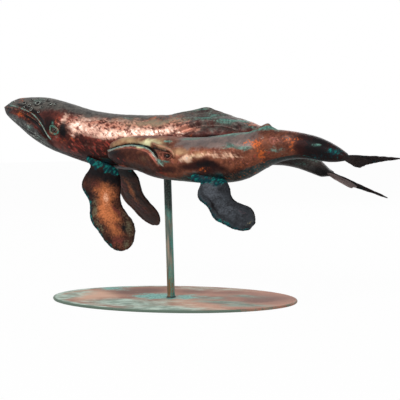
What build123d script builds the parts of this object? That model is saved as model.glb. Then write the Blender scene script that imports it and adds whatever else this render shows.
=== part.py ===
"""Humpback mother and calf in formed copper sheet, carried by one rod on an oval plate.

Millimetres. The origin is the centre of the plate's underside and +Z is up. The heads
point to -X, the calf swims at -Y beside the mother, and each whale has its own frame.
"""
import os
from math import cos, pi, sin, sqrt

from build123d import *

# Stand
BASE_LENGTH = 320.0
BASE_WIDTH = 180.0
BASE_THICK = 3.2
BASE_RIM = 0.8
ROD_D = 9.5
ROD_SEAT = 1.2
ROD_CHAMFER = 0.8
SWIVEL_CLEARANCE = 0.05
SOCKET_WALL = 1.6
SOCKET_DEPTH = 42.0
SOCKET_CAP = 3.0

# Formed sheet
WALL = 1.5
WIDEST = 0.48
LIP_W = 3.0
LIP_PROUD = 1.2
PLEAT_COUNT = 9
PLEAT_PITCH = 12.0
PLEAT_W = 1.4
PLEAT_DEPTH = 0.7
PLEAT_REACH = 120.0
CUT_REACH = 200.0

# Mother: where she swims, and her lines as (distance aft of the rod, keel, back, half beam)
MOTHER_HEIGHT = 157.0
MOTHER_SIDE = 20.0
MOTHER_YAW = 3.0
MOTHER_NOSE = (-254.0, 89.0)
MOTHER_LINES = (
    (-249.0, 82.0, 93.5, 8.0),
    (-240.0, 73.0, 96.5, 15.0),
    (-226.0, 62.5, 100.6, 22.0),
    (-205.0, 47.0, 101.6, 28.0),
    (-180.0, 33.0, 99.0, 31.5),
    (-150.0, 22.0, 90.8, 34.0),
    (-113.0, 10.8, 80.0, 35.5),
    (-70.0, 4.0, 73.5, 36.0),
    (-20.0, 0.5, 70.8, 35.0),
    (40.0, 0.0, 69.5, 32.5),
    (85.0, 2.7, 64.8, 28.0),
    (125.0, 6.0, 49.0, 21.0),
    (160.0, 2.5, 30.0, 14.0),
    (190.0, -7.8, 11.5, 8.5),
    (206.0, -12.5, 0.5, 6.0),
)
MOTHER_MOUTH = (
    (-262.0, 90.0),
    (-228.0, 88.0),
    (-200.0, 78.5),
    (-179.0, 66.5),
    (-167.5, 53.0),
    (-160.0, 44.5),
)
MOTHER_SEAM = ((-140.0, 34.0), (-70.0, 25.0), (20.0, 21.0), (110.0, 20.0), (170.0, 9.0), (220.0, -12.0))
MOTHER_EYE = (-154.5, 54.0)
PLEAT_START = (-238.0, 78.0)
PLEAT_END = (-88.0, 38.0)

# Calf, in the same terms: how far its keel lies below the mother's, and the gap between the flanks
CALF_DROP = 12.0
PAIR_GAP = 0.9
CALF_YAW = 6.0
CALF_NOSE = (-64.5, 41.0)
CALF_LINES = (
    (-61.0, 35.5, 45.5, 6.0),
    (-55.0, 27.5, 49.8, 11.0),
    (-44.0, 21.0, 54.5, 15.5),
    (-28.0, 17.5, 56.0, 19.0),
    (-5.0, 9.5, 57.0, 21.5),
    (25.0, 4.0, 55.0, 24.0),
    (65.0, 0.5, 52.5, 25.5),
    (100.0, 1.0, 55.0, 24.0),
    (125.0, 5.5, 57.3, 21.0),
    (150.0, 18.0, 59.3, 16.5),
    (178.0, 26.0, 57.2, 13.0),
    (205.0, 24.5, 51.3, 11.0),
    (222.0, 22.2, 44.5, 9.0),
    (236.0, 22.5, 36.2, 6.5),
    (243.0, 23.5, 31.0, 5.0),
)
CALF_MOUTH = (
    (-72.0, 41.0),
    (-50.0, 42.5),
    (-26.0, 46.5),
    (-5.0, 44.5),
    (11.0, 38.5),
    (19.5, 28.5),
    (27.0, 20.5),
)
CALF_SEAM = ((45.0, 15.0), (90.0, 15.0), (140.0, 26.0), (200.0, 35.0), (255.0, 25.0))
CALF_EYE = (32.5, 33.0)

# Flippers: root in the whale's frame, (splay, sweep, toe) in degrees, then the blade itself
MOTHER_ROOT = (-93.5, 22.0, 14.0)
MOTHER_NEAR_POSE = (14.0, 24.0, 27.0)
MOTHER_FAR_POSE = (41.0, 4.5, 10.0)
MOTHER_BLADE = 121.5
MOTHER_CHORD = 39.0
MOTHER_BLADE_THICK = 8.0
MOTHER_BOW = 8.0
CALF_NEAR_ROOT = (81.0, 18.0, 7.0)
CALF_NEAR_POSE = (26.0, 49.0, 20.0)
CALF_FAR_ROOT = (77.0, 25.5, 30.0)
CALF_FAR_POSE = (10.0, 101.0, 0.0)
CALF_BLADE = 90.0
CALF_CHORD = 30.0
CALF_BLADE_THICK = 7.0
CALF_BOW = 8.0
MOTHER_KNOB = 7.5
CALF_KNOB = 4.5
KNOBS = 2.5
KNOB_FADE = 0.7
TRAIL_WAVE = 5.5
TRAIL_WAVES = 2
ROOT_SINK = 14.0
ROOT_CHORD = 0.66
NECK_END = 0.22
ROUND_FROM = 0.72
BLADE_STEPS = 14
BLADE_THINNING = 0.6

# Flukes: half span, how far the tips trail, root chord, thickness, droop and roll in degrees
MOTHER_FLUKE_ROOT = (198.0, -3.0)
MOTHER_HALF_SPAN = 75.0
MOTHER_TRAIL = 58.0
MOTHER_FLUKE_CHORD = 46.0
MOTHER_FLUKE_DROOP = 25.0
MOTHER_FLUKE_ROLL = -8.0
CALF_FLUKE_ROOT = (238.0, 28.0)
CALF_HALF_SPAN = 70.0
CALF_TRAIL = 42.0
CALF_FLUKE_CHORD = 40.0
CALF_FLUKE_DROOP = 10.0
CALF_FLUKE_ROLL = 2.0
FLUKE_THICK = 7.0
FLUKE_THINNING = 0.75
FLUKE_TAPER = 0.75
FLUKE_SWEEP = 1.4
FLUKE_HOOK = 2.0
NOTCH = 6.0

# Dorsal fins: (aft of the rod, base length, height), then thickness and how deep they start
MOTHER_DORSAL = (34.0, 80.0, 8.6)
CALF_DORSAL = (145.0, 32.0, 8.0)
DORSAL_THICK = 9.0
DORSAL_EDGE = 2.7
DORSAL_SINK = 8.0
DORSAL_TIP_LEAN = 0.165

# Levels of a dorsal fin as shares: (height, length left, lean aft)
DORSAL_LEVELS = ((0.0, 0.92, 0.0), (0.55, 0.46, 0.08), (0.9, 0.15, 0.15))

# Eyes, and the studs that tie the calf to the mother
EYE_D = 5.0
EYE_SINK = 0.8
EYE_RING_D = 8.4
EYE_RING_WIRE = 1.6
EYE_RING_PROUD = 1.1
STUD_D = 5.0
STUD_INSIDE = 5.0
STUD_PLACES = ((24.0, 21.0), (56.0, 19.0))

os.makedirs("parts", exist_ok=True)


def station(lines, x, column):
    """One value of the lines at x, on a straight line between the two nearest stations."""
    for fore, aft in zip(lines, lines[1:]):
        if fore[0] <= x <= aft[0]:
            share = (x - fore[0]) / (aft[0] - fore[0])
            return fore[column] + share * (aft[column] - fore[column])


BACK = 2
HALF_BEAM = 3
mother_beam = station(MOTHER_LINES, 0, HALF_BEAM)
calf_beam = station(CALF_LINES, 0, HALF_BEAM)
calf_side = MOTHER_SIDE - mother_beam - calf_beam - PAIR_GAP
calf_height = MOTHER_HEIGHT - CALF_DROP
MOTHER = Plane(Location((0, MOTHER_SIDE, MOTHER_HEIGHT), (0, 0, -MOTHER_YAW)))
CALF = Plane(Location((0, calf_side, calf_height), (0, 0, -CALF_YAW)))


def across(whale, x):
    """Plane across the whale at x, with the beam along its X and the height along its Y."""
    return Plane(origin=whale.from_local_coords((x, 0, 0)), x_dir=whale.y_dir, z_dir=whale.x_dir)


def section(whale, line, grow):
    """One cross-section: two half ellipses that meet where the body is widest."""
    x, keel, back, beam = line
    widest = keel + WIDEST * (back - keel)
    with BuildSketch(across(whale, x)) as outline:
        with BuildLine():
            EllipticalCenterArc((0, widest), beam + grow, back - widest + grow, 0, arc_size=180)
            EllipticalCenterArc((0, widest), beam + grow, widest - keel + grow, 180, arc_size=180)
        make_face()
    return outline.sketch


def body(whale, lines, nose, grow=0.0):
    """The whale's solid form from the nose to the tail stock, its skin moved out by grow."""
    tip = whale.from_local_coords((nose[0] - grow, 0, nose[1]))
    with BuildPart() as form:
        loft([Vertex(tip.X, tip.Y, tip.Z)] + [section(whale, line, grow) for line in lines])
    return form.part


def cavity(whale, lines):
    """The hollow inside the sheet, closed before the nose and before the tail stock's end."""
    with BuildPart() as hollow:
        loft([section(whale, line, -WALL) for line in lines[1:-1]])
    return hollow.part


def profile_plane(whale):
    """The whale's plane of symmetry, with X aft and Y up."""
    return Plane(origin=whale.origin, x_dir=whale.x_dir, z_dir=-whale.y_dir)


def above_seam(whale, points):
    """Everything above the line where the back sheet meets the belly sheet."""
    with BuildPart() as region:
        with BuildSketch(profile_plane(whale)):
            with BuildLine():
                seam = Spline(*points)
                Polyline(seam @ 1, ((seam @ 1).X, CUT_REACH), ((seam @ 0).X, CUT_REACH), seam @ 0)
            make_face()
        extrude(amount=CUT_REACH / 2, both=True)
    return region.part


def mouth_band(whale, points):
    """A ribbon of the lip's width along the mouth, through the whole head."""
    with BuildPart() as band:
        with BuildSketch(profile_plane(whale)):
            with BuildLine() as mouth:
                Spline(*points)
            trace(mouth.line, LIP_W)
        extrude(amount=CUT_REACH / 2, both=True)
    return band.part


def wave(along, count):
    """From 0 at the start up to 1 and back again, as often as count says."""
    return (1 - cos(2 * pi * count * along)) / 2


def blade(whale, root, turn, length, chord, thick, bow, knob):
    """A flipper: lens sections from inside the body to a round tip, knobbed in front and waved behind."""
    frame = Plane(whale.location * Location(root, turn))
    sections = []
    for step in range(-1, BLADE_STEPS):
        along = sin(pi / 2 * max(step, 0) / BLADE_STEPS)
        tip = (1 - max(0.0, (along - ROUND_FROM) / (1 - ROUND_FROM)) ** 2.4) ** 0.5
        neck = ROOT_CHORD + (1 - ROOT_CHORD) * sin(pi / 2 * min(1.0, along / NECK_END))
        lead = knob * wave(along, KNOBS) * (1 - KNOB_FADE * along) * tip
        trail = TRAIL_WAVE * wave(along, TRAIL_WAVES) * tip
        wide = chord * tip * neck + lead + trail
        shift = (trail - lead) / 2 - bow * sin(pi * along)
        deep = thick * (1 - BLADE_THINNING * along) * sqrt(tip)
        height = along * length if step >= 0 else -ROOT_SINK
        with BuildSketch(frame.offset(height)) as lens:
            with Locations((shift, 0)):
                Ellipse(wide / 2, deep / 2)
        sections.append(lens.sketch)
    tip_point = frame.from_local_coords((0, 0, length))
    sections.append(Vertex(tip_point.X, tip_point.Y, tip_point.Z))
    with BuildPart() as flipper:
        loft(sections)
    return flipper.part


def flukes(whale, root, half_span, trail, chord, droop, roll):
    """Both tail lobes in one sheet: swept lens sections from the notch out to each tip."""
    tail = whale.location * Location((root[0], 0, root[1]), (roll, droop, 0))
    steps = 6
    with BuildPart() as sheet:
        for side in (-1, 1):
            frame = Plane(tail * Location((0, 0, 0), (-90 * side, 0, 0)))
            sections = []
            for step in range(steps):
                out = step / steps
                lead = trail * out ** FLUKE_SWEEP
                wide = chord * (1 - out) ** FLUKE_TAPER - (NOTCH if step == 0 else 0)
                deep = FLUKE_THICK * (1 - FLUKE_THINNING * out)
                with BuildSketch(frame.offset(out * half_span)) as lens:
                    with Locations((lead + wide / 2, 0)):
                        Ellipse(wide / 2, deep / 2)
                sections.append(lens.sketch)
            tip = frame.from_local_coords((trail + FLUKE_HOOK, 0, half_span))
            loft(sections + [Vertex(tip.X, tip.Y, tip.Z)])
    return sheet.part


def skin_plane(form, whale, place, side):
    """Plane on the skin beside a point of the profile, facing outwards."""
    axis = Axis(whale.from_local_coords((place[0], 0, place[1])), whale.y_dir * side)
    point, normal = form.find_intersection_points(axis)[-1]
    return Plane(origin=point, z_dir=normal)


def fin_level(whale, x, level, length, share):
    """One level of a dorsal fin, thinner where it is shorter."""
    with BuildSketch(Plane(whale.location * Location((x, 0, level)))) as outline:
        Ellipse(share * length / 2, (DORSAL_EDGE + (DORSAL_THICK - DORSAL_EDGE) * share) / 2)
    return outline.sketch


def dorsal(whale, lines, fin):
    """A low fin: ellipses that shrink upwards and trail aft from inside the back."""
    x, length, height = fin
    back = station(lines, x, BACK)
    sections = [fin_level(whale, x, back - DORSAL_SINK, length, 1.0)]
    for rise, share, lean in DORSAL_LEVELS:
        sections.append(fin_level(whale, x + lean * length, back + rise * height, length, share))
    top = whale.from_local_coords((x + DORSAL_TIP_LEAN * length, 0, back + height))
    with BuildPart() as hump:
        loft(sections + [Vertex(top.X, top.Y, top.Z)])
    return hump.part


def save(piece, name):
    """Label one finished piece and write it under its own name."""
    piece.label = name
    export_step(piece, f"parts/{name}.step")


# Solid forms of the two whales, which every other piece is trimmed to
mother_form = body(MOTHER, MOTHER_LINES, MOTHER_NOSE)
calf_form = body(CALF, CALF_LINES, CALF_NOSE)
rod_top = MOTHER_HEIGHT + SOCKET_DEPTH

# Oval plate with a shallow seat that the rod is brazed into
with BuildPart() as base_plate:
    with BuildSketch():
        Ellipse(BASE_LENGTH / 2, BASE_WIDTH / 2)
    extrude(amount=BASE_THICK)
    fillet(base_plate.faces().sort_by(Axis.Z)[-1].edges(), BASE_RIM)
    with BuildSketch(Plane.XY.offset(BASE_THICK)):
        Circle(ROD_D / 2)
    extrude(amount=-ROD_SEAT, mode=Mode.SUBTRACT)
save(base_plate.part, "base_plate")

# Rod from its seat in the plate to its bare top end inside the mother
with BuildPart() as support_rod:
    with BuildSketch(Plane.XY.offset(BASE_THICK - ROD_SEAT)):
        Circle(ROD_D / 2)
    extrude(amount=rod_top - (BASE_THICK - ROD_SEAT))
    chamfer(support_rod.faces().sort_by(Axis.Z)[-1].edges(), ROD_CHAMFER)
save(support_rod.part, "support_rod")

# Capped tube brazed into the mother's belly, which slips over the rod
socket_d = ROD_D + 2 * (SWIVEL_CLEARANCE + SOCKET_WALL)
with BuildPart() as rod_socket:
    with BuildSketch(Plane.XY.offset(rod_top + SWIVEL_CLEARANCE + SOCKET_CAP)):
        Circle(socket_d / 2)
    extrude(amount=-2 * SOCKET_DEPTH)
    add(mother_form, mode=Mode.INTERSECT)
    with BuildSketch(Plane.XY.offset(rod_top + SWIVEL_CLEARANCE)):
        Circle(ROD_D / 2 + SWIVEL_CLEARANCE)
    extrude(amount=-2 * SOCKET_DEPTH, mode=Mode.SUBTRACT)
save(rod_socket.part, "rod_socket")

# Studs through both flanks, which carry the calf
with BuildPart() as link_studs:
    for stud_x, stud_rise in STUD_PLACES:
        stud_z = MOTHER_HEIGHT + stud_rise
        inward = Axis((stud_x, calf_side, stud_z), (0, 1, 0))
        calf_skin = calf_form.find_intersection_points(inward)[-1][0]
        outward = Axis((stud_x, MOTHER_SIDE, stud_z), (0, -1, 0))
        mother_skin = mother_form.find_intersection_points(outward)[-1][0]
        start = calf_skin.Y - STUD_INSIDE
        reach = mother_skin.Y + STUD_INSIDE - start
        with BuildSketch(Plane(origin=(stud_x, start, stud_z), x_dir=(1, 0, 0), z_dir=(0, 1, 0))):
            Circle(STUD_D / 2)
        extrude(amount=reach)
save(link_studs.part, "link_studs")

# Throat pleats: a fan of thin plates about a line down the throat, kept to the skin's depth
throat_drop = PLEAT_START[1] - PLEAT_END[1]
throat_run = PLEAT_END[0] - PLEAT_START[0]
throat_length = sqrt(throat_run ** 2 + throat_drop ** 2)
throat_slope = Vector(throat_run, throat_drop).get_angle(Vector(1, 0))
throat_frame = Location((PLEAT_START[0], 0, PLEAT_START[1]), (0, throat_slope, 0))
pleat_floor = body(MOTHER, MOTHER_LINES, MOTHER_NOSE, -PLEAT_DEPTH)
with BuildPart() as throat_pleats:
    for index in range(PLEAT_COUNT):
        lean = (index - (PLEAT_COUNT - 1) / 2) * PLEAT_PITCH
        plate = Plane(MOTHER.location * throat_frame * Location((0, 0, 0), (lean - 90, 0, 0)))
        with BuildSketch(plate):
            Rectangle(throat_length, PLEAT_REACH, align=(Align.MIN, Align.MIN))
        extrude(amount=PLEAT_W / 2, both=True)
    add(pleat_floor, mode=Mode.SUBTRACT)

# Mother's sheet in two halves, met along the mouth and the flank
mother_upper = above_seam(MOTHER, MOTHER_MOUTH + MOTHER_SEAM)
mother_hollow = cavity(MOTHER, MOTHER_LINES)
with BuildPart() as mother_back_shell:
    add(mother_form)
    add(mother_hollow, mode=Mode.SUBTRACT)
    add(mother_upper, mode=Mode.INTERSECT)
    add(link_studs.part, mode=Mode.SUBTRACT)
save(mother_back_shell.part, "mother_back_shell")

with BuildPart() as mother_belly_shell:
    add(mother_form)
    add(mother_hollow, mode=Mode.SUBTRACT)
    add(mother_upper, mode=Mode.SUBTRACT)
    add(throat_pleats.part, mode=Mode.SUBTRACT)
    with BuildSketch():
        Circle(socket_d / 2)
    extrude(amount=rod_top, mode=Mode.SUBTRACT)
    add(link_studs.part, mode=Mode.SUBTRACT)
save(mother_belly_shell.part, "mother_belly_shell")

# Calf's sheet, made the same way
calf_upper = above_seam(CALF, CALF_MOUTH + CALF_SEAM)
calf_hollow = cavity(CALF, CALF_LINES)
with BuildPart() as calf_back_shell:
    add(calf_form)
    add(calf_hollow, mode=Mode.SUBTRACT)
    add(calf_upper, mode=Mode.INTERSECT)
    add(link_studs.part, mode=Mode.SUBTRACT)
save(calf_back_shell.part, "calf_back_shell")

with BuildPart() as calf_belly_shell:
    add(calf_form)
    add(calf_hollow, mode=Mode.SUBTRACT)
    add(calf_upper, mode=Mode.SUBTRACT)
    add(link_studs.part, mode=Mode.SUBTRACT)
save(calf_belly_shell.part, "calf_belly_shell")

# Lips: a strip that stands proud of the skin along each mouth
mother_proud = body(MOTHER, MOTHER_LINES, MOTHER_NOSE, LIP_PROUD)
mother_mouth_band = mouth_band(MOTHER, MOTHER_MOUTH)
with BuildPart() as mother_lip:
    add(mother_proud)
    add(mother_mouth_band, mode=Mode.INTERSECT)
    add(mother_form, mode=Mode.SUBTRACT)
save(mother_lip.part, "mother_lip")

calf_proud = body(CALF, CALF_LINES, CALF_NOSE, LIP_PROUD)
calf_mouth_band = mouth_band(CALF, CALF_MOUTH)
with BuildPart() as calf_lip:
    add(calf_proud)
    add(calf_mouth_band, mode=Mode.INTERSECT)
    add(calf_form, mode=Mode.SUBTRACT)
save(calf_lip.part, "calf_lip")

# Flippers, seated on the skin of their own whale
MOTHER_FLIPPER = (MOTHER_BLADE, MOTHER_CHORD, MOTHER_BLADE_THICK, MOTHER_BOW, MOTHER_KNOB)
CALF_FLIPPER = (CALF_BLADE, CALF_CHORD, CALF_BLADE_THICK, CALF_BOW, CALF_KNOB)
for name, whale, form, side, root, pose, sizes in (
    ("mother_left_flipper", MOTHER, mother_form, -1, MOTHER_ROOT, MOTHER_NEAR_POSE, MOTHER_FLIPPER),
    ("mother_right_flipper", MOTHER, mother_form, 1, MOTHER_ROOT, MOTHER_FAR_POSE, MOTHER_FLIPPER),
    ("calf_left_flipper", CALF, calf_form, -1, CALF_NEAR_ROOT, CALF_NEAR_POSE, CALF_FLIPPER),
    ("calf_right_flipper", CALF, calf_form, 1, CALF_FAR_ROOT, CALF_FAR_POSE, CALF_FLIPPER),
):
    splay, sweep, toe = pose
    turn = (180 + side * splay, sweep, side * toe)
    place = (root[0], side * root[1], root[2])
    whole_blade = blade(whale, place, turn, *sizes)
    with BuildPart() as flipper:
        add(whole_blade)
        add(form, mode=Mode.SUBTRACT)
    save(flipper.part, name)

# Flukes and dorsal fins, seated the same way
mother_tail = (MOTHER_HALF_SPAN, MOTHER_TRAIL, MOTHER_FLUKE_CHORD, MOTHER_FLUKE_DROOP, MOTHER_FLUKE_ROLL)
mother_lobes = flukes(MOTHER, MOTHER_FLUKE_ROOT, *mother_tail)
with BuildPart() as mother_flukes:
    add(mother_lobes)
    add(mother_form, mode=Mode.SUBTRACT)
save(mother_flukes.part, "mother_flukes")

calf_tail = (CALF_HALF_SPAN, CALF_TRAIL, CALF_FLUKE_CHORD, CALF_FLUKE_DROOP, CALF_FLUKE_ROLL)
calf_lobes = flukes(CALF, CALF_FLUKE_ROOT, *calf_tail)
with BuildPart() as calf_flukes:
    add(calf_lobes)
    add(calf_form, mode=Mode.SUBTRACT)
save(calf_flukes.part, "calf_flukes")

mother_hump = dorsal(MOTHER, MOTHER_LINES, MOTHER_DORSAL)
with BuildPart() as mother_dorsal_fin:
    add(mother_hump)
    add(mother_form, mode=Mode.SUBTRACT)
save(mother_dorsal_fin.part, "mother_dorsal_fin")

calf_hump = dorsal(CALF, CALF_LINES, CALF_DORSAL)
with BuildPart() as calf_dorsal_fin:
    add(calf_hump)
    add(calf_form, mode=Mode.SUBTRACT)
save(calf_dorsal_fin.part, "calf_dorsal_fin")

# Eyes: a ball and a wire ring on each side of each head
for whale_name, whale, form, place in (
    ("mother", MOTHER, mother_form, MOTHER_EYE),
    ("calf", CALF, calf_form, CALF_EYE),
):
    for side_name, side in (("left", -1), ("right", 1)):
        seat = skin_plane(form, whale, place, side)
        with BuildPart() as eye:
            with Locations(seat.offset(-EYE_SINK)):
                Sphere(EYE_D / 2)
            add(form, mode=Mode.SUBTRACT)
        save(eye.part, f"{whale_name}_{side_name}_eye")
        with BuildPart() as ring:
            with BuildSketch(Plane(origin=seat.origin, x_dir=seat.x_dir, z_dir=-seat.y_dir)):
                with BuildLine():
                    Polyline(
                        (EYE_RING_D / 2 - EYE_RING_WIRE, -EYE_RING_WIRE),
                        (EYE_RING_D / 2, -EYE_RING_WIRE),
                        ((EYE_RING_D - EYE_RING_WIRE) / 2, EYE_RING_PROUD),
                        close=True,
                    )
                make_face()
            revolve(axis=Axis(seat.origin, seat.z_dir))
            add(form, mode=Mode.SUBTRACT)
        save(ring.part, f"{whale_name}_{side_name}_eye_ring")
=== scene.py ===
"""Humpback mother and calf in hammered, patinated copper, on a rod and an oval plate."""
from math import cos, pi, radians, sin

import bpy
import numpy as np
from mathutils import Matrix, Vector, noise
from mathutils.bvhtree import BVHTree


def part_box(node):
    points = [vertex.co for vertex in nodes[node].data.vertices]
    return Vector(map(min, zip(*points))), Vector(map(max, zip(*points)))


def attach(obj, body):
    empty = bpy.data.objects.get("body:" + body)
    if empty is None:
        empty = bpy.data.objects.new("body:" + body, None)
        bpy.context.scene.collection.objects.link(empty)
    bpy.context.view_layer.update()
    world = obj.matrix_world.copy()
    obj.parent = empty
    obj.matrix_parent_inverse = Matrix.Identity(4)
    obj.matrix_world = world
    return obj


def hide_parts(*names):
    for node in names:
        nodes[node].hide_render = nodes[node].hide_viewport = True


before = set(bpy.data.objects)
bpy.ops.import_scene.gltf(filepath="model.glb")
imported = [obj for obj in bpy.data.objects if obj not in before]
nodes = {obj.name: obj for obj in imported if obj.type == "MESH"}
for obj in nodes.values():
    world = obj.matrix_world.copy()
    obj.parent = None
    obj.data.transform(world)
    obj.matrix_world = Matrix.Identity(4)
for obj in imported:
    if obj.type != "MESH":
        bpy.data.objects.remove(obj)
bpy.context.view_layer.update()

# Each whale is shaped in its own frame, in millimetres: x aft of the rod, y to its right, z up.
# MOTHER and CALF place those frames in the part, in metres.
MM = 0.001
MOTHER = Matrix.Translation((0, 0.020, 0.157)) @ Matrix.Rotation(radians(-3), 4, "Z")
CALF = Matrix.Translation((0, -0.037, 0.145)) @ Matrix.Rotation(radians(-6), 4, "Z")
ROD_RADIUS = 4.75
SOCKET_RADIUS = 6.4
PLATE_TOP = 3.2
RAY_START = 150
SECTION_STEPS = 141
SIDES = (("left", -1), ("right", 1))


# Shaping helpers

def smooth(low, high, value):
    """0 below low, 1 above high and an even rise between them."""
    share = np.clip((value - low) / (high - low), 0, 1)
    return share * share * (3 - 2 * share)


def swell(value, centre, width):
    """A soft rise of height 1 about the centre."""
    return np.exp(-((value - centre) / width) ** 2)


def patch(x, z, centre, size):
    """A soft oval of height 1 on the whale's profile."""
    return np.exp(-((x - centre[0]) / size[0]) ** 2 - ((z - centre[1]) / size[1]) ** 2)


def most(*fields):
    """The highest of several fields at each point."""
    return np.maximum.reduce(fields)


def patches(x, z, *places):
    """Soft ovals laid over one another, each as its centre, its half sizes and its weight."""
    total = np.zeros_like(x)
    for at_x, at_z, long, tall, weight in places:
        total = np.maximum(total, weight * patch(x, z, (at_x, at_z), (long, tall)))
    return total


def grain(points, size, stretch=(1, 1, 1)):
    """Soft noise from -1 to 1 with lumps of the given size."""
    spread = np.asarray(stretch) / size
    return np.array([noise.noise(Vector(p)) for p in points * spread])


def hammer_marks(points, size):
    """Round dimples side by side, -1 at each centre and 0 where they meet."""
    gap = np.array([noise.voronoi(Vector(p))[0][0] for p in points / size])
    return -np.clip(1 - (gap / 0.62) ** 2, 0, 1)


def off_line(x, z, line):
    """Distance from a line drawn on the profile, and the share along it."""
    line = np.asarray(line, float)
    lengths = np.linalg.norm(np.diff(line, axis=0), axis=1)
    starts = np.concatenate(([0], np.cumsum(lengths)))
    nearest = np.full(x.shape, 1e9)
    along = np.zeros(x.shape)
    for (ax, az), (bx, bz), length, start in zip(line, line[1:], lengths, starts):
        t = np.clip(((x - ax) * (bx - ax) + (z - az) * (bz - az)) / length ** 2, 0, 1)
        gap = np.hypot(x - ax - t * (bx - ax), z - az - t * (bz - az))
        along = np.where(gap < nearest, (start + t * length) / starts[-1], along)
        nearest = np.minimum(nearest, gap)
    return nearest, along


def above_line(x, z, line):
    """Distance from a line that runs aft, positive above it."""
    line = np.asarray(line, float)
    gap = off_line(x, z, line)[0]
    return np.where(z >= np.interp(x, line[:, 0], line[:, 1]), gap, -gap)


def wander(points, x, z):
    """Places on the profile, shifted a little so that marks get uneven edges."""
    shift_x = 5 * grain(points, 20) + 2 * grain(points, 7)
    shift_z = 4 * grain(points + 57, 20) + 1.6 * grain(points + 57, 7)
    return x + shift_x, z + shift_z


def fin_foot(x, y, turn, outline, width):
    """The swell of the back that a dorsal fin grows out of."""
    rise = np.interp(x, [point[0] for point in outline], [point[1] for point in outline])
    return 0.75 * rise * np.exp(-(y / width) ** 2) * (turn < 1.0)


# Pieces

def ring_faces(count, sides, first=0, closed=False, flipped=False):
    """Faces between rings of points that follow one another."""
    faces = []
    for ring in range(count if closed else count - 1):
        here, there = first + ring * sides, first + (ring + 1) % count * sides
        for side in range(sides):
            after = (side + 1) % sides
            face = (here + side, here + after, there + after, there + side)
            faces.append(face[:1] + face[:0:-1] if flipped else face)
    return faces


def make_piece(name, points, faces, marks=None):
    """A smooth mesh piece, points in metres, with its patina marks stored on its vertices."""
    mesh = bpy.data.meshes.new(name)
    mesh.from_pydata([tuple(p) for p in points], [], faces)
    mesh.polygons.foreach_set("use_smooth", [True] * len(mesh.polygons))
    for mark, values in (marks or {}).items():
        store = mesh.attributes.new(mark, "FLOAT", "POINT")
        store.data.foreach_set("value", np.asarray(values, np.float32))
    mesh.update()
    piece = bpy.data.objects.new(name, mesh)
    bpy.context.scene.collection.objects.link(piece)
    return piece


def settle(piece, body, slot, finish, *replaced):
    """Give a piece its finish, its body and the nodes that it stands for."""
    piece.data.materials.clear()
    piece.data.materials.append(finish)
    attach(piece, body)
    if replaced:
        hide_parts(*replaced)
    return piece


def bead(name, path, radius, closed=False, sides=10, marks=None):
    """A round bead along a path; the radius may differ from point to point."""
    path = np.asarray(path, float)
    count = len(path)
    radius = np.broadcast_to(np.asarray(radius, float), (count,))
    if closed:
        run = np.roll(path, -1, 0) - np.roll(path, 1, 0)
    else:
        run = np.gradient(path, axis=0)
    run /= np.linalg.norm(run, axis=1)[:, None]
    across = np.cross(run[0], (0.0, 0.0, 1.0))
    points = []
    for step in range(count):
        across = across - run[step] * across.dot(run[step])
        across /= np.linalg.norm(across)
        rise = np.cross(run[step], across)
        for side in range(sides):
            turn = 2 * pi * side / sides
            points.append(path[step] + radius[step] * (cos(turn) * across + sin(turn) * rise))
    faces = ring_faces(count, sides, closed=closed)
    if not closed:
        faces.append(tuple(range(sides))[::-1])
        faces.append(tuple((count - 1) * sides + side for side in range(sides)))
    marks = {mark: np.repeat(values, sides) for mark, values in (marks or {}).items()}
    return make_piece(name, points, faces, marks)


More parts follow.
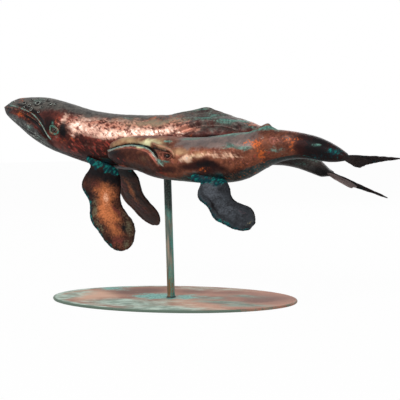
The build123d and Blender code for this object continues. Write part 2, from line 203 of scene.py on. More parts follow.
class Skin:
    """One whale's skin as rings of points, measured on the two packed sheets."""

    def __init__(self, whale, sheets, side, nose, tail, stations, back_steps, belly_steps):
        self.whale = whale
        self.nose = np.array(nose)
        self.back_steps = back_steps
        tree, owner = self.tree_of(sheets)
        along = np.linspace(0, 1, stations) ** 1.15
        self.x = nose[0] + 0.4 + along * (tail - nose[0] - 0.8)
        turns = np.linspace(0, pi, SECTION_STEPS)
        rings, seam, centres = [], [], []
        for x in self.x:
            top = tree.ray_cast(Vector((x, 0.01 * side, 300)), Vector((0, 0, -1)))[0].z
            low = tree.ray_cast(Vector((x, 0.01 * side, -200)), Vector((0, 0, 1)))[0].z
            centre = (top + low) / 2
            radii, backs = [], []
            for turn in turns:
                out = Vector((0, side * sin(turn), cos(turn)))
                start = Vector((x, 0, centre)) + out * RAY_START
                place, _, face, _ = tree.ray_cast(start, -out)
                radii.append((place - Vector((x, 0, centre))).length)
                backs.append(owner[face] == 0)
            radii = self.close_pleats(np.array(radii))
            last = int(np.sum(backs)) - 1
            split = (turns[last] + turns[min(last + 1, len(turns) - 1)]) / 2
            seam.append(centre + np.interp(split, turns, radii) * cos(split))
            rings.append(radii)
            centres.append(centre)
        seam = self.soften(np.array(seam), 4)
        self.seam = np.column_stack((self.x, seam))
        self.lay_rings(turns, np.array(rings), np.array(centres), seam, belly_steps)

    def tree_of(self, sheets):
        """Both sheets in the whale's frame, and which of them each face belongs to."""
        points, faces, owner = [], [], []
        inward = self.whale.inverted()
        for index, sheet in enumerate(sheets):
            mesh = nodes[sheet].data
            mesh.calc_loop_triangles()
            first = len(points)
            points += [inward @ v.co / MM for v in mesh.vertices]
            faces += [tuple(first + i for i in tri.vertices) for tri in mesh.loop_triangles]
            owner += [index] * len(mesh.loop_triangles)
        return BVHTree.FromPolygons(points, faces), owner

    @staticmethod
    def close_pleats(radii):
        """The section without the narrow pleats, which are drawn again more finely."""
        wide = np.pad(radii, 4, mode="edge")
        raised = np.max([wide[i:i + len(radii) + 4] for i in range(5)], axis=0)
        return np.min([raised[i:i + len(radii)] for i in range(5)], axis=0)

    @staticmethod
    def soften(values, reach):
        """A running mean that keeps both ends."""
        wide = np.pad(values, reach, mode="reflect", reflect_type="odd")
        return np.convolve(wide, np.ones(2 * reach + 1) / (2 * reach + 1), "valid")

    def lay_rings(self, turns, radii, centres, seam, belly_steps):
        """Rings that run over the back from seam to seam, then under the belly."""
        shape = (len(self.x), self.back_steps + belly_steps)
        self.points = np.zeros(shape + (3,))
        self.turn = np.zeros(shape)
        self.under = np.zeros(shape)
        for i, x in enumerate(self.x):
            heights = centres[i] + radii[i] * np.cos(turns)
            split = np.interp(-seam[i], -heights, turns)
            back = np.linspace(-split, split, self.back_steps + 1)[:-1]
            belly = np.linspace(split, 2 * pi - split, belly_steps + 1)[:-1]
            turn = np.concatenate((back, belly))
            folded = np.where(turn > pi, 2 * pi - turn, np.abs(turn))
            reach = np.interp(folded, turns, radii[i])
            self.turn[i] = folded
            self.under[i] = np.clip((folded - split) / (pi - split), 0, 1)
            self.points[i, :, 0] = x
            self.points[i, :, 1] = -np.sin(turn) * reach
            self.points[i, :, 2] = centres[i] + np.cos(turn) * reach

    def normals(self):
        """Outward normals of the rings."""
        round_ring = np.roll(self.points, -1, 1) - np.roll(self.points, 1, 1)
        along = np.gradient(self.points, axis=0)
        out = np.cross(round_ring, along)
        return out / np.maximum(np.linalg.norm(out, axis=2), 1e-9)[..., None]

    def flat(self, values=None):
        """The rings' points, or values on them, in one row."""
        values = self.points if values is None else values
        return values.reshape(-1, *values.shape[2:])

    def raise_by(self, height):
        """Move the skin along its normals, less where the nose and the tail close."""
        fade = smooth(0, 4, np.arange(len(self.x)))[:, None]
        self.points = self.points + self.normals() * (height.reshape(self.turn.shape) * fade)[..., None]

    def flatten_tail(self, start, keep):
        """Draw the tail stock's end down to a flat wedge where the flukes join it."""
        share = smooth(start, self.x[-1], self.x)[:, None]
        middle = self.points[:, :, 2].mean(1)[:, None]
        self.points[:, :, 2] = middle + (self.points[:, :, 2] - middle) * (1 - (1 - keep) * share)

    def placed(self, points):
        """Points of the whale's frame, in metres in the part's frame."""
        turn = np.array(self.whale.to_3x3())
        return np.asarray(points) * MM @ turn.T + np.array(self.whale.translation)

    def sheet(self, name, columns, marks, hole=None):
        """One sheet as a mesh piece: the named columns of every ring, closed at both ends."""
        count = len(columns)
        grid = self.points[:, columns].reshape(-1, 3)
        values = {
            mark: list(v.reshape(self.turn.shape)[:, columns].ravel())
            for mark, v in marks.items()
        }
        faces = []
        for i in range(len(self.x) - 1):
            for j in range(count - 1):
                here = i * count + j
                faces.append((here, here + 1, here + count + 1, here + count))
        tail = self.points[-1].mean(0) + (0.4, 0, 0)
        points = np.vstack((grid, self.nose_point(), tail))
        last = (len(self.x) - 1) * count
        for j in range(count - 1):
            faces.append((len(grid), j + 1, j))
            faces.append((len(grid) + 1, last + j, last + j + 1))
        for mark in values:
            values[mark] += [values[mark][count // 2], values[mark][last + count // 2]]
        points = self.placed(points)
        if hole:
            reach = np.hypot(points[:, 0], points[:, 1])
            faces = [face for face in faces if max(reach[i] for i in face) > hole]
            near = reach < hole
            points[near, :2] *= (hole / np.maximum(reach[near], 1e-6))[:, None]
            used = sorted(set(i for face in faces for i in face))
            order = {old: new for new, old in enumerate(used)}
            faces = [tuple(order[i] for i in face) for face in faces]
            points = points[used]
            values = {mark: np.array(v)[used] for mark, v in values.items()}
        return make_piece(name, points, faces, values)

    def nose_point(self):
        """The tip of the snout, on the mouth line."""
        return np.array((self.nose[0], 0.0, self.nose[1]))

    def back_columns(self):
        return np.arange(self.back_steps + 1)

    def belly_columns(self):
        count = self.turn.shape[1]
        return np.concatenate((np.arange(self.back_steps, count), [0]))

    def skin_tree(self):
        """The shaped skin for seating smaller pieces, in the whale's frame."""
        return BVHTree.FromPolygons([tuple(p) for p in self.flat()], ring_faces(*self.turn.shape))

    def seat(self, tree, x, z, side):
        """The point of the skin beside a place on the profile, and its normal."""
        place, normal, _, _ = tree.ray_cast(Vector((x, side * RAY_START, z)), Vector((0, -side, 0)))
        if normal.y * side < 0:
            normal = -normal
        return place, normal

    def mouth_path(self, corner):
        """Points of the seam from one mouth corner round the snout to the other."""
        stop = int(np.searchsorted(self.x, corner))
        right = self.points[:stop, 0]
        left = self.points[:stop, self.back_steps]
        return np.vstack((left[::-1], self.nose_point()[None], right))


# Finishes

class Tone:
    """A shader value that ordinary arithmetic can build on."""

    def __init__(self, finish, socket):
        self.finish = finish
        self.socket = socket

    def work(self, operation, first, second):
        return self.finish.node("ShaderNodeMath", {"operation": operation}, {0: first, 1: second})

    def __add__(self, other):
        return self.work("ADD", self, other)

    def __sub__(self, other):
        return self.work("SUBTRACT", self, other)

    def __rsub__(self, other):
        return self.work("SUBTRACT", other, self)

    def __mul__(self, other):
        return self.work("MULTIPLY", self, other)

    __radd__ = __add__
    __rmul__ = __mul__


class Finish:
    """The nodes of one finish, of the floor or of the sky."""

    def __init__(self, owner):
        self.owner = owner
        owner.use_nodes = True
        self.tree = owner.node_tree
        self.tree.nodes.clear()

    def node(self, kind, settings=None, inputs=None, out=0):
        """Any node: its type, its settings, and the values or links of its sockets."""
        made = self.tree.nodes.new(kind)
        for setting, value in (settings or {}).items():
            setattr(made, setting, value)
        for socket, value in (inputs or {}).items():
            if isinstance(value, Tone):
                self.tree.links.new(value.socket, made.inputs[socket])
            else:
                made.inputs[socket].default_value = value
        return Tone(self, made.outputs[out]) if made.outputs else None

    def metal(self, **sockets):
        """The finished material, with the shader's sockets named with underscores."""
        inputs = {socket.replace("_", " "): value for socket, value in sockets.items()}
        shader = self.node("ShaderNodeBsdfPrincipled", {}, inputs)
        self.node("ShaderNodeOutputMaterial", {}, {"Surface": shader})
        return self.owner

    def mark(self, name):
        """A patina mark stored on the piece."""
        return self.node("ShaderNodeAttribute", {"attribute_name": name}, out="Fac")

    def drawn(self, longer, turn):
        """Places on the piece, turned, and with what lies on them drawn out along each axis."""
        place = self.node("ShaderNodeTexCoord", out="Object")
        inputs = {"Vector": place, "Rotation": turn, "Scale": longer}
        return self.node("ShaderNodeMapping", {"vector_type": "TEXTURE"}, inputs)

    def cloud(self, size, detail=4.0, rough=0.55, longer=(1, 1, 1), turn=(0, 0, 0)):
        """Noise from 0 to 1 with lumps of the given size in millimetres."""
        inputs = {"Vector": self.drawn(longer, turn), "Scale": 1 / (size * MM), "Detail": detail}
        inputs["Roughness"] = rough
        return self.node("ShaderNodeTexNoise", {}, inputs, "Fac")

    def dents(self, size):
        """Soft hammer dents of the given size in millimetres."""
        inputs = {"Vector": self.drawn((1, 1, 1), (0, 0, 0)), "Scale": 1 / (size * MM)}
        return self.node("ShaderNodeTexVoronoi", {"feature": "SMOOTH_F1"}, inputs, "Distance")

    def step(self, low, high, value):
        """0 below low, 1 above high and an even rise between them."""
        inputs = {"Value": value, "From Min": low, "From Max": high}
        return self.node("ShaderNodeMapRange", {"interpolation_type": "SMOOTHSTEP"}, inputs)

    def lay(self, mask, under, over):
        """One colour laid over another where the mask is 1."""
        return self.node("ShaderNodeMix", {"data_type": "RGBA"}, {0: mask, 6: under, 7: over}, 2)

    def ragged(self, mark, breakup, amount, low=0.35, high=0.65):
        """A mark whose edge is broken up by noise, and nothing where there is no mark."""
        return self.step(low, high, mark + (breakup - 0.5) * amount) * self.step(0.02, 0.2, mark)

    def stain(self, colour, name, breakup, amount, over, low=0.35, high=0.65):
        """A colour with another laid over it where the piece has the named mark."""
        return self.lay(self.ragged(self.mark(name), breakup, amount, low, high), colour, over)

    def relief(self, height, distance, strength):
        """A bump of the given height in millimetres."""
        inputs = {"Height": height, "Distance": distance * MM, "Strength": strength}
        return self.node("ShaderNodeBump", {}, inputs, "Normal")


def rgb(red, green, blue):
    """A colour as seen on a screen, 0 to 255, made linear for the shader."""
    channels = [c / 255 for c in (red, green, blue)]
    linear = [c / 12.92 if c <= 0.04045 else ((c + 0.055) / 1.055) ** 2.4 for c in channels]
    return (*linear, 1.0)


TURQUOISE = rgb(64, 118, 108)
PALE_TURQUOISE = rgb(122, 170, 156)
DEEP_TEAL = rgb(10, 48, 56)
ROOT_TEAL = rgb(22, 120, 112)
# The pale straw, silver and cream colours below are painted highlights; the soot and umber are also
# laid as painted shade.
PALE_HIGHLIGHT = rgb(222, 218, 172)
GREY_HIGHLIGHT = rgb(186, 192, 184)
SCARLET = rgb(150, 58, 48)
PEWTER = rgb(94, 89, 83)
DARK_PEWTER = rgb(50, 49, 48)
SOOT_AND_SHADE = rgb(15, 12, 14)
UMBER = rgb(42, 18, 16)
GLINT_CREAM = rgb(250, 232, 218)
EMBER = rgb(178, 86, 36)


def whale_copper(name, shade, base, stroke, painted_highlight, gold, grey, dark_grey, glint_share):
    """Hammered copper: a mottled base, bright strokes, heat colours, grey oxide and verdigris, with
    painted highlights and glints, and painted shade laid with the soot and umber.
    """
    f = Finish(bpy.data.materials.new(name))
    blotch = f.cloud(24, 5)
    lumps = f.cloud(8, 4, 0.6)
    fleck = f.cloud(2.4, 3, 0.65)
    rising = f.cloud(2.6, 3, 0.6, (3.2, 1, 1), (0, 0.8, 0))
    falling = f.cloud(2.6, 3, 0.6, (3.2, 1, 1), (0, -0.85, 0))
    streak = f.cloud(5, 4, 0.65, (5, 1, 1), (0, 0.12, 0))
    strokes = rising * 0.5 + falling * 0.5
    colour = f.lay(f.step(0.4, 0.6, blotch * 0.35 + lumps * 0.4 + fleck * 0.25), shade, base)
    colour = f.stain(colour, "rose", rising * 0.6 + falling * 0.4, 3.6, stroke, 0.3, 0.8)
    colour = f.stain(colour, "gold", lumps * 0.5 + blotch * 0.5, 1.4, gold, 0.1, 1.0)
    # Painted highlight: a cream band where the flank catches the light, broken into painted glints with
    # gaps of the base colour between them.
    highlight_mark = f.mark("painted_highlight")
    colour = f.lay(f.ragged(highlight_mark, streak * 0.5 + rising * 0.5, 2.0, 0.2, 0.8), colour, painted_highlight)
    # Painted highlight in pale straw.
    colour = f.stain(colour, "pale_highlight", lumps, 0.9, PALE_HIGHLIGHT, 0.1, 1.0)
    painted_flashes = f.ragged(highlight_mark, rising * 0.75 + falling * 0.25, 3.6, 0.72, 1.12)
    colour = f.lay(painted_flashes * glint_share, colour, GLINT_CREAM)
    glint_gaps = f.ragged(highlight_mark, 1 - rising * 0.6 - falling * 0.4, 4.8, 0.92, 1.24)
    colour = f.lay(glint_gaps * glint_share, colour, base)
    greys = f.lay(f.step(0.38, 0.62, lumps * 0.6 + fleck * 0.4), dark_grey, grey)
    colour = f.stain(colour, "pewter", strokes * 0.4 + lumps * 0.6, 2.0, greys, 0.15, 0.85)
    # Umber tone, laid mostly as painted shade in hollows and low on the body.
    colour = f.stain(colour, "umber_and_shade", blotch * 0.4 + strokes * 0.6, 1.4, UMBER, 0.0, 0.95)
    colour = f.stain(colour, "scarlet", rising * 0.7 + lumps * 0.3, 4.0, SCARLET, 0.4, 1.0)
    colour = f.lay(
        f.ragged(f.mark("ember"), fleck * 0.8 + lumps * 0.2, 3.2, 0.45, 1.0) * 0.9, colour, EMBER,
    )
    # Soot, and painted shade in creases and hollows.
    colour = f.stain(colour, "soot_and_shade", lumps * 0.6 + fleck * 0.4, 1.5, SOOT_AND_SHADE, 0.2, 0.8)
    # Painted pink highlight on ridges and rims.
    colour = f.lay(
        f.ragged(f.mark("pink_highlight"), strokes * 0.5 + lumps * 0.5, 1.8, 0.3, 0.9) * 0.85, colour, stroke,
    )
    green = f.ragged(f.mark("verdigris"), streak * 0.65 + fleck * 0.35, 2.2, 0.25, 0.85)
    greens = f.lay(f.step(0.42, 0.66, fleck * 0.5 + lumps * 0.5), TURQUOISE, PALE_TURQUOISE)
    colour = f.lay(green * 0.85, colour, greens)
    # Painted grey highlight.
    colour = f.lay(
        f.ragged(f.mark("grey_highlight"), streak * 0.4 + fleck * 0.6, 2.4, 0.35, 0.9) * 0.85, colour, GREY_HIGHLIGHT,
    )
    teals = f.lay(f.step(0.52, 0.68, streak * 0.5 + fleck * 0.5), DEEP_TEAL, ROOT_TEAL)
    colour = f.stain(colour, "teal", streak * 0.5 + fleck * 0.5, 2.0, teals, 0.2, 0.8)
    height = f.dents(6) * 0.5 + strokes * 0.9 + fleck * 0.25 + green * 0.4
    return f.metal(
        Base_Color=colour,
        Metallic=0.5 - green * 0.4,
        Roughness=0.4 + blotch * 0.14 + green * 0.22,
        Specular_IOR_Level=0.15,
        Normal=f.relief(height, 0.6, 0.6),
    )


def dark_copper(name, shade, base, painted_highlight, moss, metallic):
    """Blackened copper with a painted highlight and a painted highlight spot on its face, stained
    edges, and dark hollows of soot and painted shade.
    """
    f = Finish(bpy.data.materials.new(name))
    blotch = f.cloud(16, 5)
    lumps = f.cloud(6, 4, 0.6)
    fleck = f.cloud(1.9, 3, 0.65)
    colour = f.lay(f.step(0.38, 0.62, blotch * 0.3 + lumps * 0.4 + fleck * 0.3), shade, base)
    # Painted highlight over the face of the blade, and a painted highlight spot on it.
    highlight_mark = f.mark("painted_highlight")
    dim_highlight = tuple(0.45 * low + 0.55 * high for low, high in zip(base, painted_highlight))
    painted_highlights = f.lay(f.step(0.36, 0.6, fleck * 0.65 + blotch * 0.35), dim_highlight, painted_highlight)
    colour = f.lay(f.ragged(highlight_mark, lumps * 0.4 + fleck * 0.6, 1.7, 0.0, 1.1), colour, painted_highlights)
    painted_flashes = f.ragged(f.mark("highlight_spot"), fleck * 0.6 + lumps * 0.4, 1.9, 0.15, 1.1)
    colour = f.lay(painted_flashes, colour, rgb(236, 186, 154))
    colour = f.stain(colour, "moss", lumps * 0.4 + fleck * 0.6, 3.0, moss, 0.3, 1.1)
    colour = f.stain(colour, "scarlet", lumps * 0.5 + fleck * 0.5, 2.0, rgb(92, 36, 40), 0.2, 0.9)
    green = f.ragged(f.mark("verdigris"), lumps * 0.5 + fleck * 0.5, 2.2)
    # Soot, dark edges and burns, and painted shade at a blade's root and on the unlit part of the
    # flukes.
    colour = f.stain(colour, "soot_and_shade", lumps, 1.3, SOOT_AND_SHADE, 0.15, 0.85)
    strand = f.cloud(3.0, 3, 0.5, (1, 1, 5), (0, 0.6, 0))
    colour = f.lay(
        green, colour, f.lay(f.step(0.48, 0.66, strand * 0.85 + fleck * 0.15), DEEP_TEAL, ROOT_TEAL),
    )
    height = f.dents(5) * 0.5 + fleck * 0.4 + lumps * 0.5
    return f.metal(
        Base_Color=colour,
        Metallic=metallic - green * metallic * 0.8,
        Roughness=0.5 + blotch * 0.14 + green * 0.2,
        Specular_IOR_Level=0.3 * metallic,
        Normal=f.relief(height, 0.5, 0.6),
    )


def verdigris_crust(name, pale, deep):
    """Chalky turquoise with dark copper showing through where it is worn."""
    f = Finish(bpy.data.materials.new(name))
    blotch = f.cloud(4, 4)
    fleck = f.cloud(1.2, 3, 0.65)
    colour = f.lay(f.step(0.38, 0.62, blotch * 0.6 + fleck * 0.4), deep, pale)
    worn = f.ragged(f.mark("worn"), blotch * 0.5 + fleck * 0.5, 2.2)
    colour = f.lay(worn, colour, f.lay(f.step(0.4, 0.6, blotch), UMBER, rgb(124, 74, 52)))
    return f.metal(
        Base_Color=colour,
        Metallic=worn * 0.4 + 0.1,
        Roughness=0.6 - worn * 0.15,
        Normal=f.relief(fleck * 0.6 + blotch * 0.6, 0.35, 0.7),
    )


def eye_gloss(name):
    """A polished dark ball with a brown cast."""
    f = Finish(bpy.data.materials.new(name))
    blotch = f.cloud(2.2, 3)
    return f.metal(
        Base_Color=f.lay(f.step(0.45, 0.7, blotch), rgb(14, 12, 14), rgb(74, 46, 32)),
        Metallic=0.3,
        Roughness=0.12 + blotch * 0.1,
        Normal=f.relief(blotch, 0.1, 0.4),
    )


def rod_patina(name):
    """A rod streaked along its length with teal, grey and brown."""
    f = Finish(bpy.data.materials.new(name))
    streak = f.cloud(2.6, 4, 0.6, (1, 1, 16))
    broad = f.cloud(9, 4, 0.55, (1, 1, 7))
    fleck = f.cloud(1.4, 3)
    colour = f.lay(f.step(0.4, 0.6, streak), rgb(80, 98, 92), rgb(150, 138, 122))
    colour = f.lay(f.step(0.42, 0.58, broad + (fleck - 0.5) * 0.3), colour, rgb(74, 144, 132))
    colour = f.lay(f.step(0.55, 0.68, streak * 0.7 + fleck * 0.3), colour, rgb(168, 138, 120))
    green = f.ragged(f.mark("verdigris"), fleck * 0.5 + streak * 0.5, 1.8)
    colour = f.lay(green, colour, TURQUOISE)
    colour = f.stain(colour, "brown", streak * 0.6 + fleck * 0.4, 1.8, rgb(124, 96, 66))
    colour = f.stain(colour, "soot_and_shade", fleck, 1.2, rgb(36, 36, 36), 0.2, 0.9)
    return f.metal(
        Base_Color=colour,
        Metallic=0.45 - green * 0.35,
        Roughness=0.44 + fleck * 0.2,
        Specular_IOR_Level=0.35,
        Normal=f.relief(streak * 0.6 + fleck * 0.5, 0.25, 0.6),
    )


def plate_patina(name):
    """Salmon copper sheet, clouded with brown and grey green."""
    f = Finish(bpy.data.materials.new(name))
    cloud = f.cloud(34, 5, 0.55, (2.2, 1, 1))
    lumps = f.cloud(11, 4, 0.6, (1.6, 1, 1))
    fleck = f.cloud(2.2, 4, 0.65)
    scour = f.cloud(2.6, 3, 0.5, (9, 1, 1), (0, 0, 0.12))
    mixed = cloud * 0.5 + lumps * 0.3 + fleck * 0.2
    colour = f.lay(f.step(0.36, 0.62, mixed), rgb(140, 96, 80), rgb(190, 134, 110))
    colour = f.stain(colour, "pale", mixed, 1.6, rgb(214, 170, 144), 0.0, 0.9)
    colour = f.stain(colour, "brown", mixed, 2.2, rgb(112, 72, 58), 0.05, 0.95)
    green = f.ragged(f.mark("grey_green"), mixed, 2.4, 0.05, 0.85)
    colour = f.lay(
        green, colour, f.lay(f.step(0.38, 0.62, lumps), rgb(128, 150, 136), rgb(190, 210, 196)),
    )
    sage = f.ragged(f.mark("sage"), mixed, 2.6, 0.1, 0.9)
    colour = f.lay(
        sage, colour, f.lay(f.step(0.38, 0.62, lumps), rgb(92, 112, 100), rgb(134, 148, 134)),
    )
    stain = f.ragged(f.mark("verdigris"), lumps * 0.6 + fleck * 0.4, 2.0, 0.15, 0.85)
    colour = f.lay(stain, colour, f.lay(f.step(0.4, 0.6, fleck), rgb(76, 140, 136), rgb(136, 190, 178)))
    colour = f.lay(f.step(0.6, 0.72, scour * 0.5 + fleck * 0.5), colour, rgb(196, 148, 126))
    colour = f.stain(colour, "edge", lumps * 0.5 + fleck * 0.5, 1.6, rgb(94, 112, 98))
    colour = f.stain(colour, "soot_and_shade", fleck, 1.0, rgb(58, 56, 52))
    return f.metal(
        Base_Color=colour,
        Metallic=0.3 - green * 0.2,
        Roughness=0.52 + fleck * 0.16,
        Specular_IOR_Level=0.35,
        Normal=f.relief(f.dents(9) * 0.4 + fleck * 0.35 + scour * 0.3, 0.4, 0.5),
    )


def bare_copper(name):
    """Dull copper of the hidden fittings."""
    f = Finish(bpy.data.materials.new(name))
    blotch = f.cloud(8, 4)
    fleck = f.cloud(1.5, 3)
    return f.metal(
        Base_Color=f.lay(f.step(0.4, 0.65, blotch), rgb(112, 66, 46), rgb(66, 74, 68)),
        Metallic=0.7,
        Roughness=0.38 + fleck * 0.2,
        Normal=f.relief(fleck + blotch, 0.2, 0.5),
    )


# Each whale's shade, base, stroke, painted highlight and gold colours.
MOTHER_COPPER = (
    rgb(56, 25, 22), rgb(104, 48, 38), rgb(204, 138, 116), rgb(218, 174, 154), rgb(146, 130, 106),
)
CALF_COPPER = (
    rgb(84, 46, 34), rgb(136, 80, 58), rgb(164, 96, 82), rgb(220, 178, 150), rgb(180, 150, 112),
)
mother_back_copper = whale_copper(
    "mother_back_copper", *MOTHER_COPPER, grey=PEWTER, dark_grey=DARK_PEWTER, glint_share=0.85,
)
mother_belly_copper = whale_copper(
    "mother_belly_copper", *MOTHER_COPPER, grey=rgb(88, 88, 86), dark_grey=rgb(44, 44, 44),
    glint_share=0.85,
)
calf_back_copper = whale_copper(
    "calf_back_copper", *CALF_COPPER, grey=rgb(122, 104, 98), dark_grey=rgb(96, 86, 84), glint_share=0.16,
)
calf_belly_copper = whale_copper(
    "calf_belly_copper", *CALF_COPPER, grey=rgb(52, 78, 77), dark_grey=rgb(32, 46, 47), glint_share=0.12,
)
flipper_copper = dark_copper(
    "flipper_copper", shade=rgb(34, 19, 16), base=rgb(70, 38, 28), painted_highlight=rgb(190, 112, 68),
    moss=rgb(94, 88, 68), metallic=0.45,
)
dark_patina = dark_copper(
    "dark_patina", shade=rgb(32, 33, 36), base=rgb(56, 60, 65), painted_highlight=rgb(92, 97, 104),
    moss=rgb(148, 134, 92), metallic=0.35,
)
fluke_black = dark_copper(
    "fluke_black", shade=rgb(24, 21, 22), base=rgb(54, 48, 48), painted_highlight=rgb(158, 140, 138),
    moss=rgb(84, 68, 60), metallic=0.0,
)
verdigris = verdigris_crust("verdigris", rgb(112, 166, 148), rgb(34, 96, 80))
lip_crust = verdigris_crust("lip_crust", rgb(150, 172, 160), rgb(76, 112, 102))
eye_dark = eye_gloss("eye_dark")
rod_finish = rod_patina("rod_patina")
plate_finish = plate_patina("plate_patina")
inner_copper = bare_copper("inner_copper")


# Mother's skin

mother = Skin(
    MOTHER, ("mother_back_shell", "mother_belly_shell"), side=1, nose=(-254, 89), tail=206,
    stations=330, back_steps=120, belly_steps=84,
)
p = mother.flat()
x, y, z = p.T
turn = mother.flat(mother.turn)
under = mother.flat(mother.under)
lip_gap = above_line(x, z, mother.seam)
mouth = 1 - smooth(-170, -157, x)
MOTHER_EYE = (-153.2, 56.2)
eye_gap = np.hypot(x - MOTHER_EYE[0], z - MOTHER_EYE[1])
flank_fold = ((14, 47), (30, 53), (52, 58.5), (78, 57.5), (104, 49))
fold_gap = above_line(x, z, flank_fold)
fold = smooth(10, 30, x) * (1 - smooth(92, 108, x))
flank = swell(z, 44, 26) * smooth(-165, -140, x)
height = 0.5 * grain(p, 34)
height += (0.16 + 0.34 * flank) * hammer_marks(p, 7.5)
height += 0.22 * flank * grain(p, 4, (0.5, 1, 1))
UPPER_LIP = (
    (-240, 93.5), (-226, 91), (-211, 87), (-194, 81.5), (-184, 76), (-174, 66.7), (-165.5, 53),
    (-160, 45),
)
upper_gap = above_line(x, z, UPPER_LIP)
groove = mouth * smooth(-253, -232, x)
lip_roll = 1.3 * swell(upper_gap, 2.2, 2.4) - 1.9 * swell(lip_gap, -1.6, 2.4)
height += groove * (lip_roll + 1.2 * swell(lip_gap, -8.5, 3.6))
pleat = (0.5 + 0.5 * np.cos(2 * pi * 6.5 * (under - 0.28))) ** 5
pleats = smooth(-250, -225, x) * (1 - smooth(-95, -50, x)) * smooth(0.26, 0.36, under)
height += pleats * (0.45 - 1.5 * pleat)
height += 1.3 * swell(eye_gap, 10.5, 3.0) - 0.9 * swell(eye_gap, 0, 6)
height += 1.4 * patch(x, z, (-146, 63), (9, 4)) - 1.2 * patch(x, z, (-140, 68), (6, 7))
height += fold * (2.2 * swell(fold_gap, 3.2, 3.0) - 2.6 * swell(fold_gap, -2.0, 2.6))
height += 1.4 * patch(x, z, (58, 45), (34, 6))
top = smooth(1.6, 0.6, turn)
height += top * (0.9 * swell(x, -229, 7) - 0.5 * swell(x, -240.5, 4.5))
MOTHER_FIN = ((-4, 0), (22, 4.6), (41, 7.6), (47, 8.4), (52, 7.8), (60, 5.6), (72, 3.2), (84, 0))
height += fin_foot(x, y, turn, MOTHER_FIN, 6.5)
mother.raise_by(height)
mother.flatten_tail(190, 0.5)

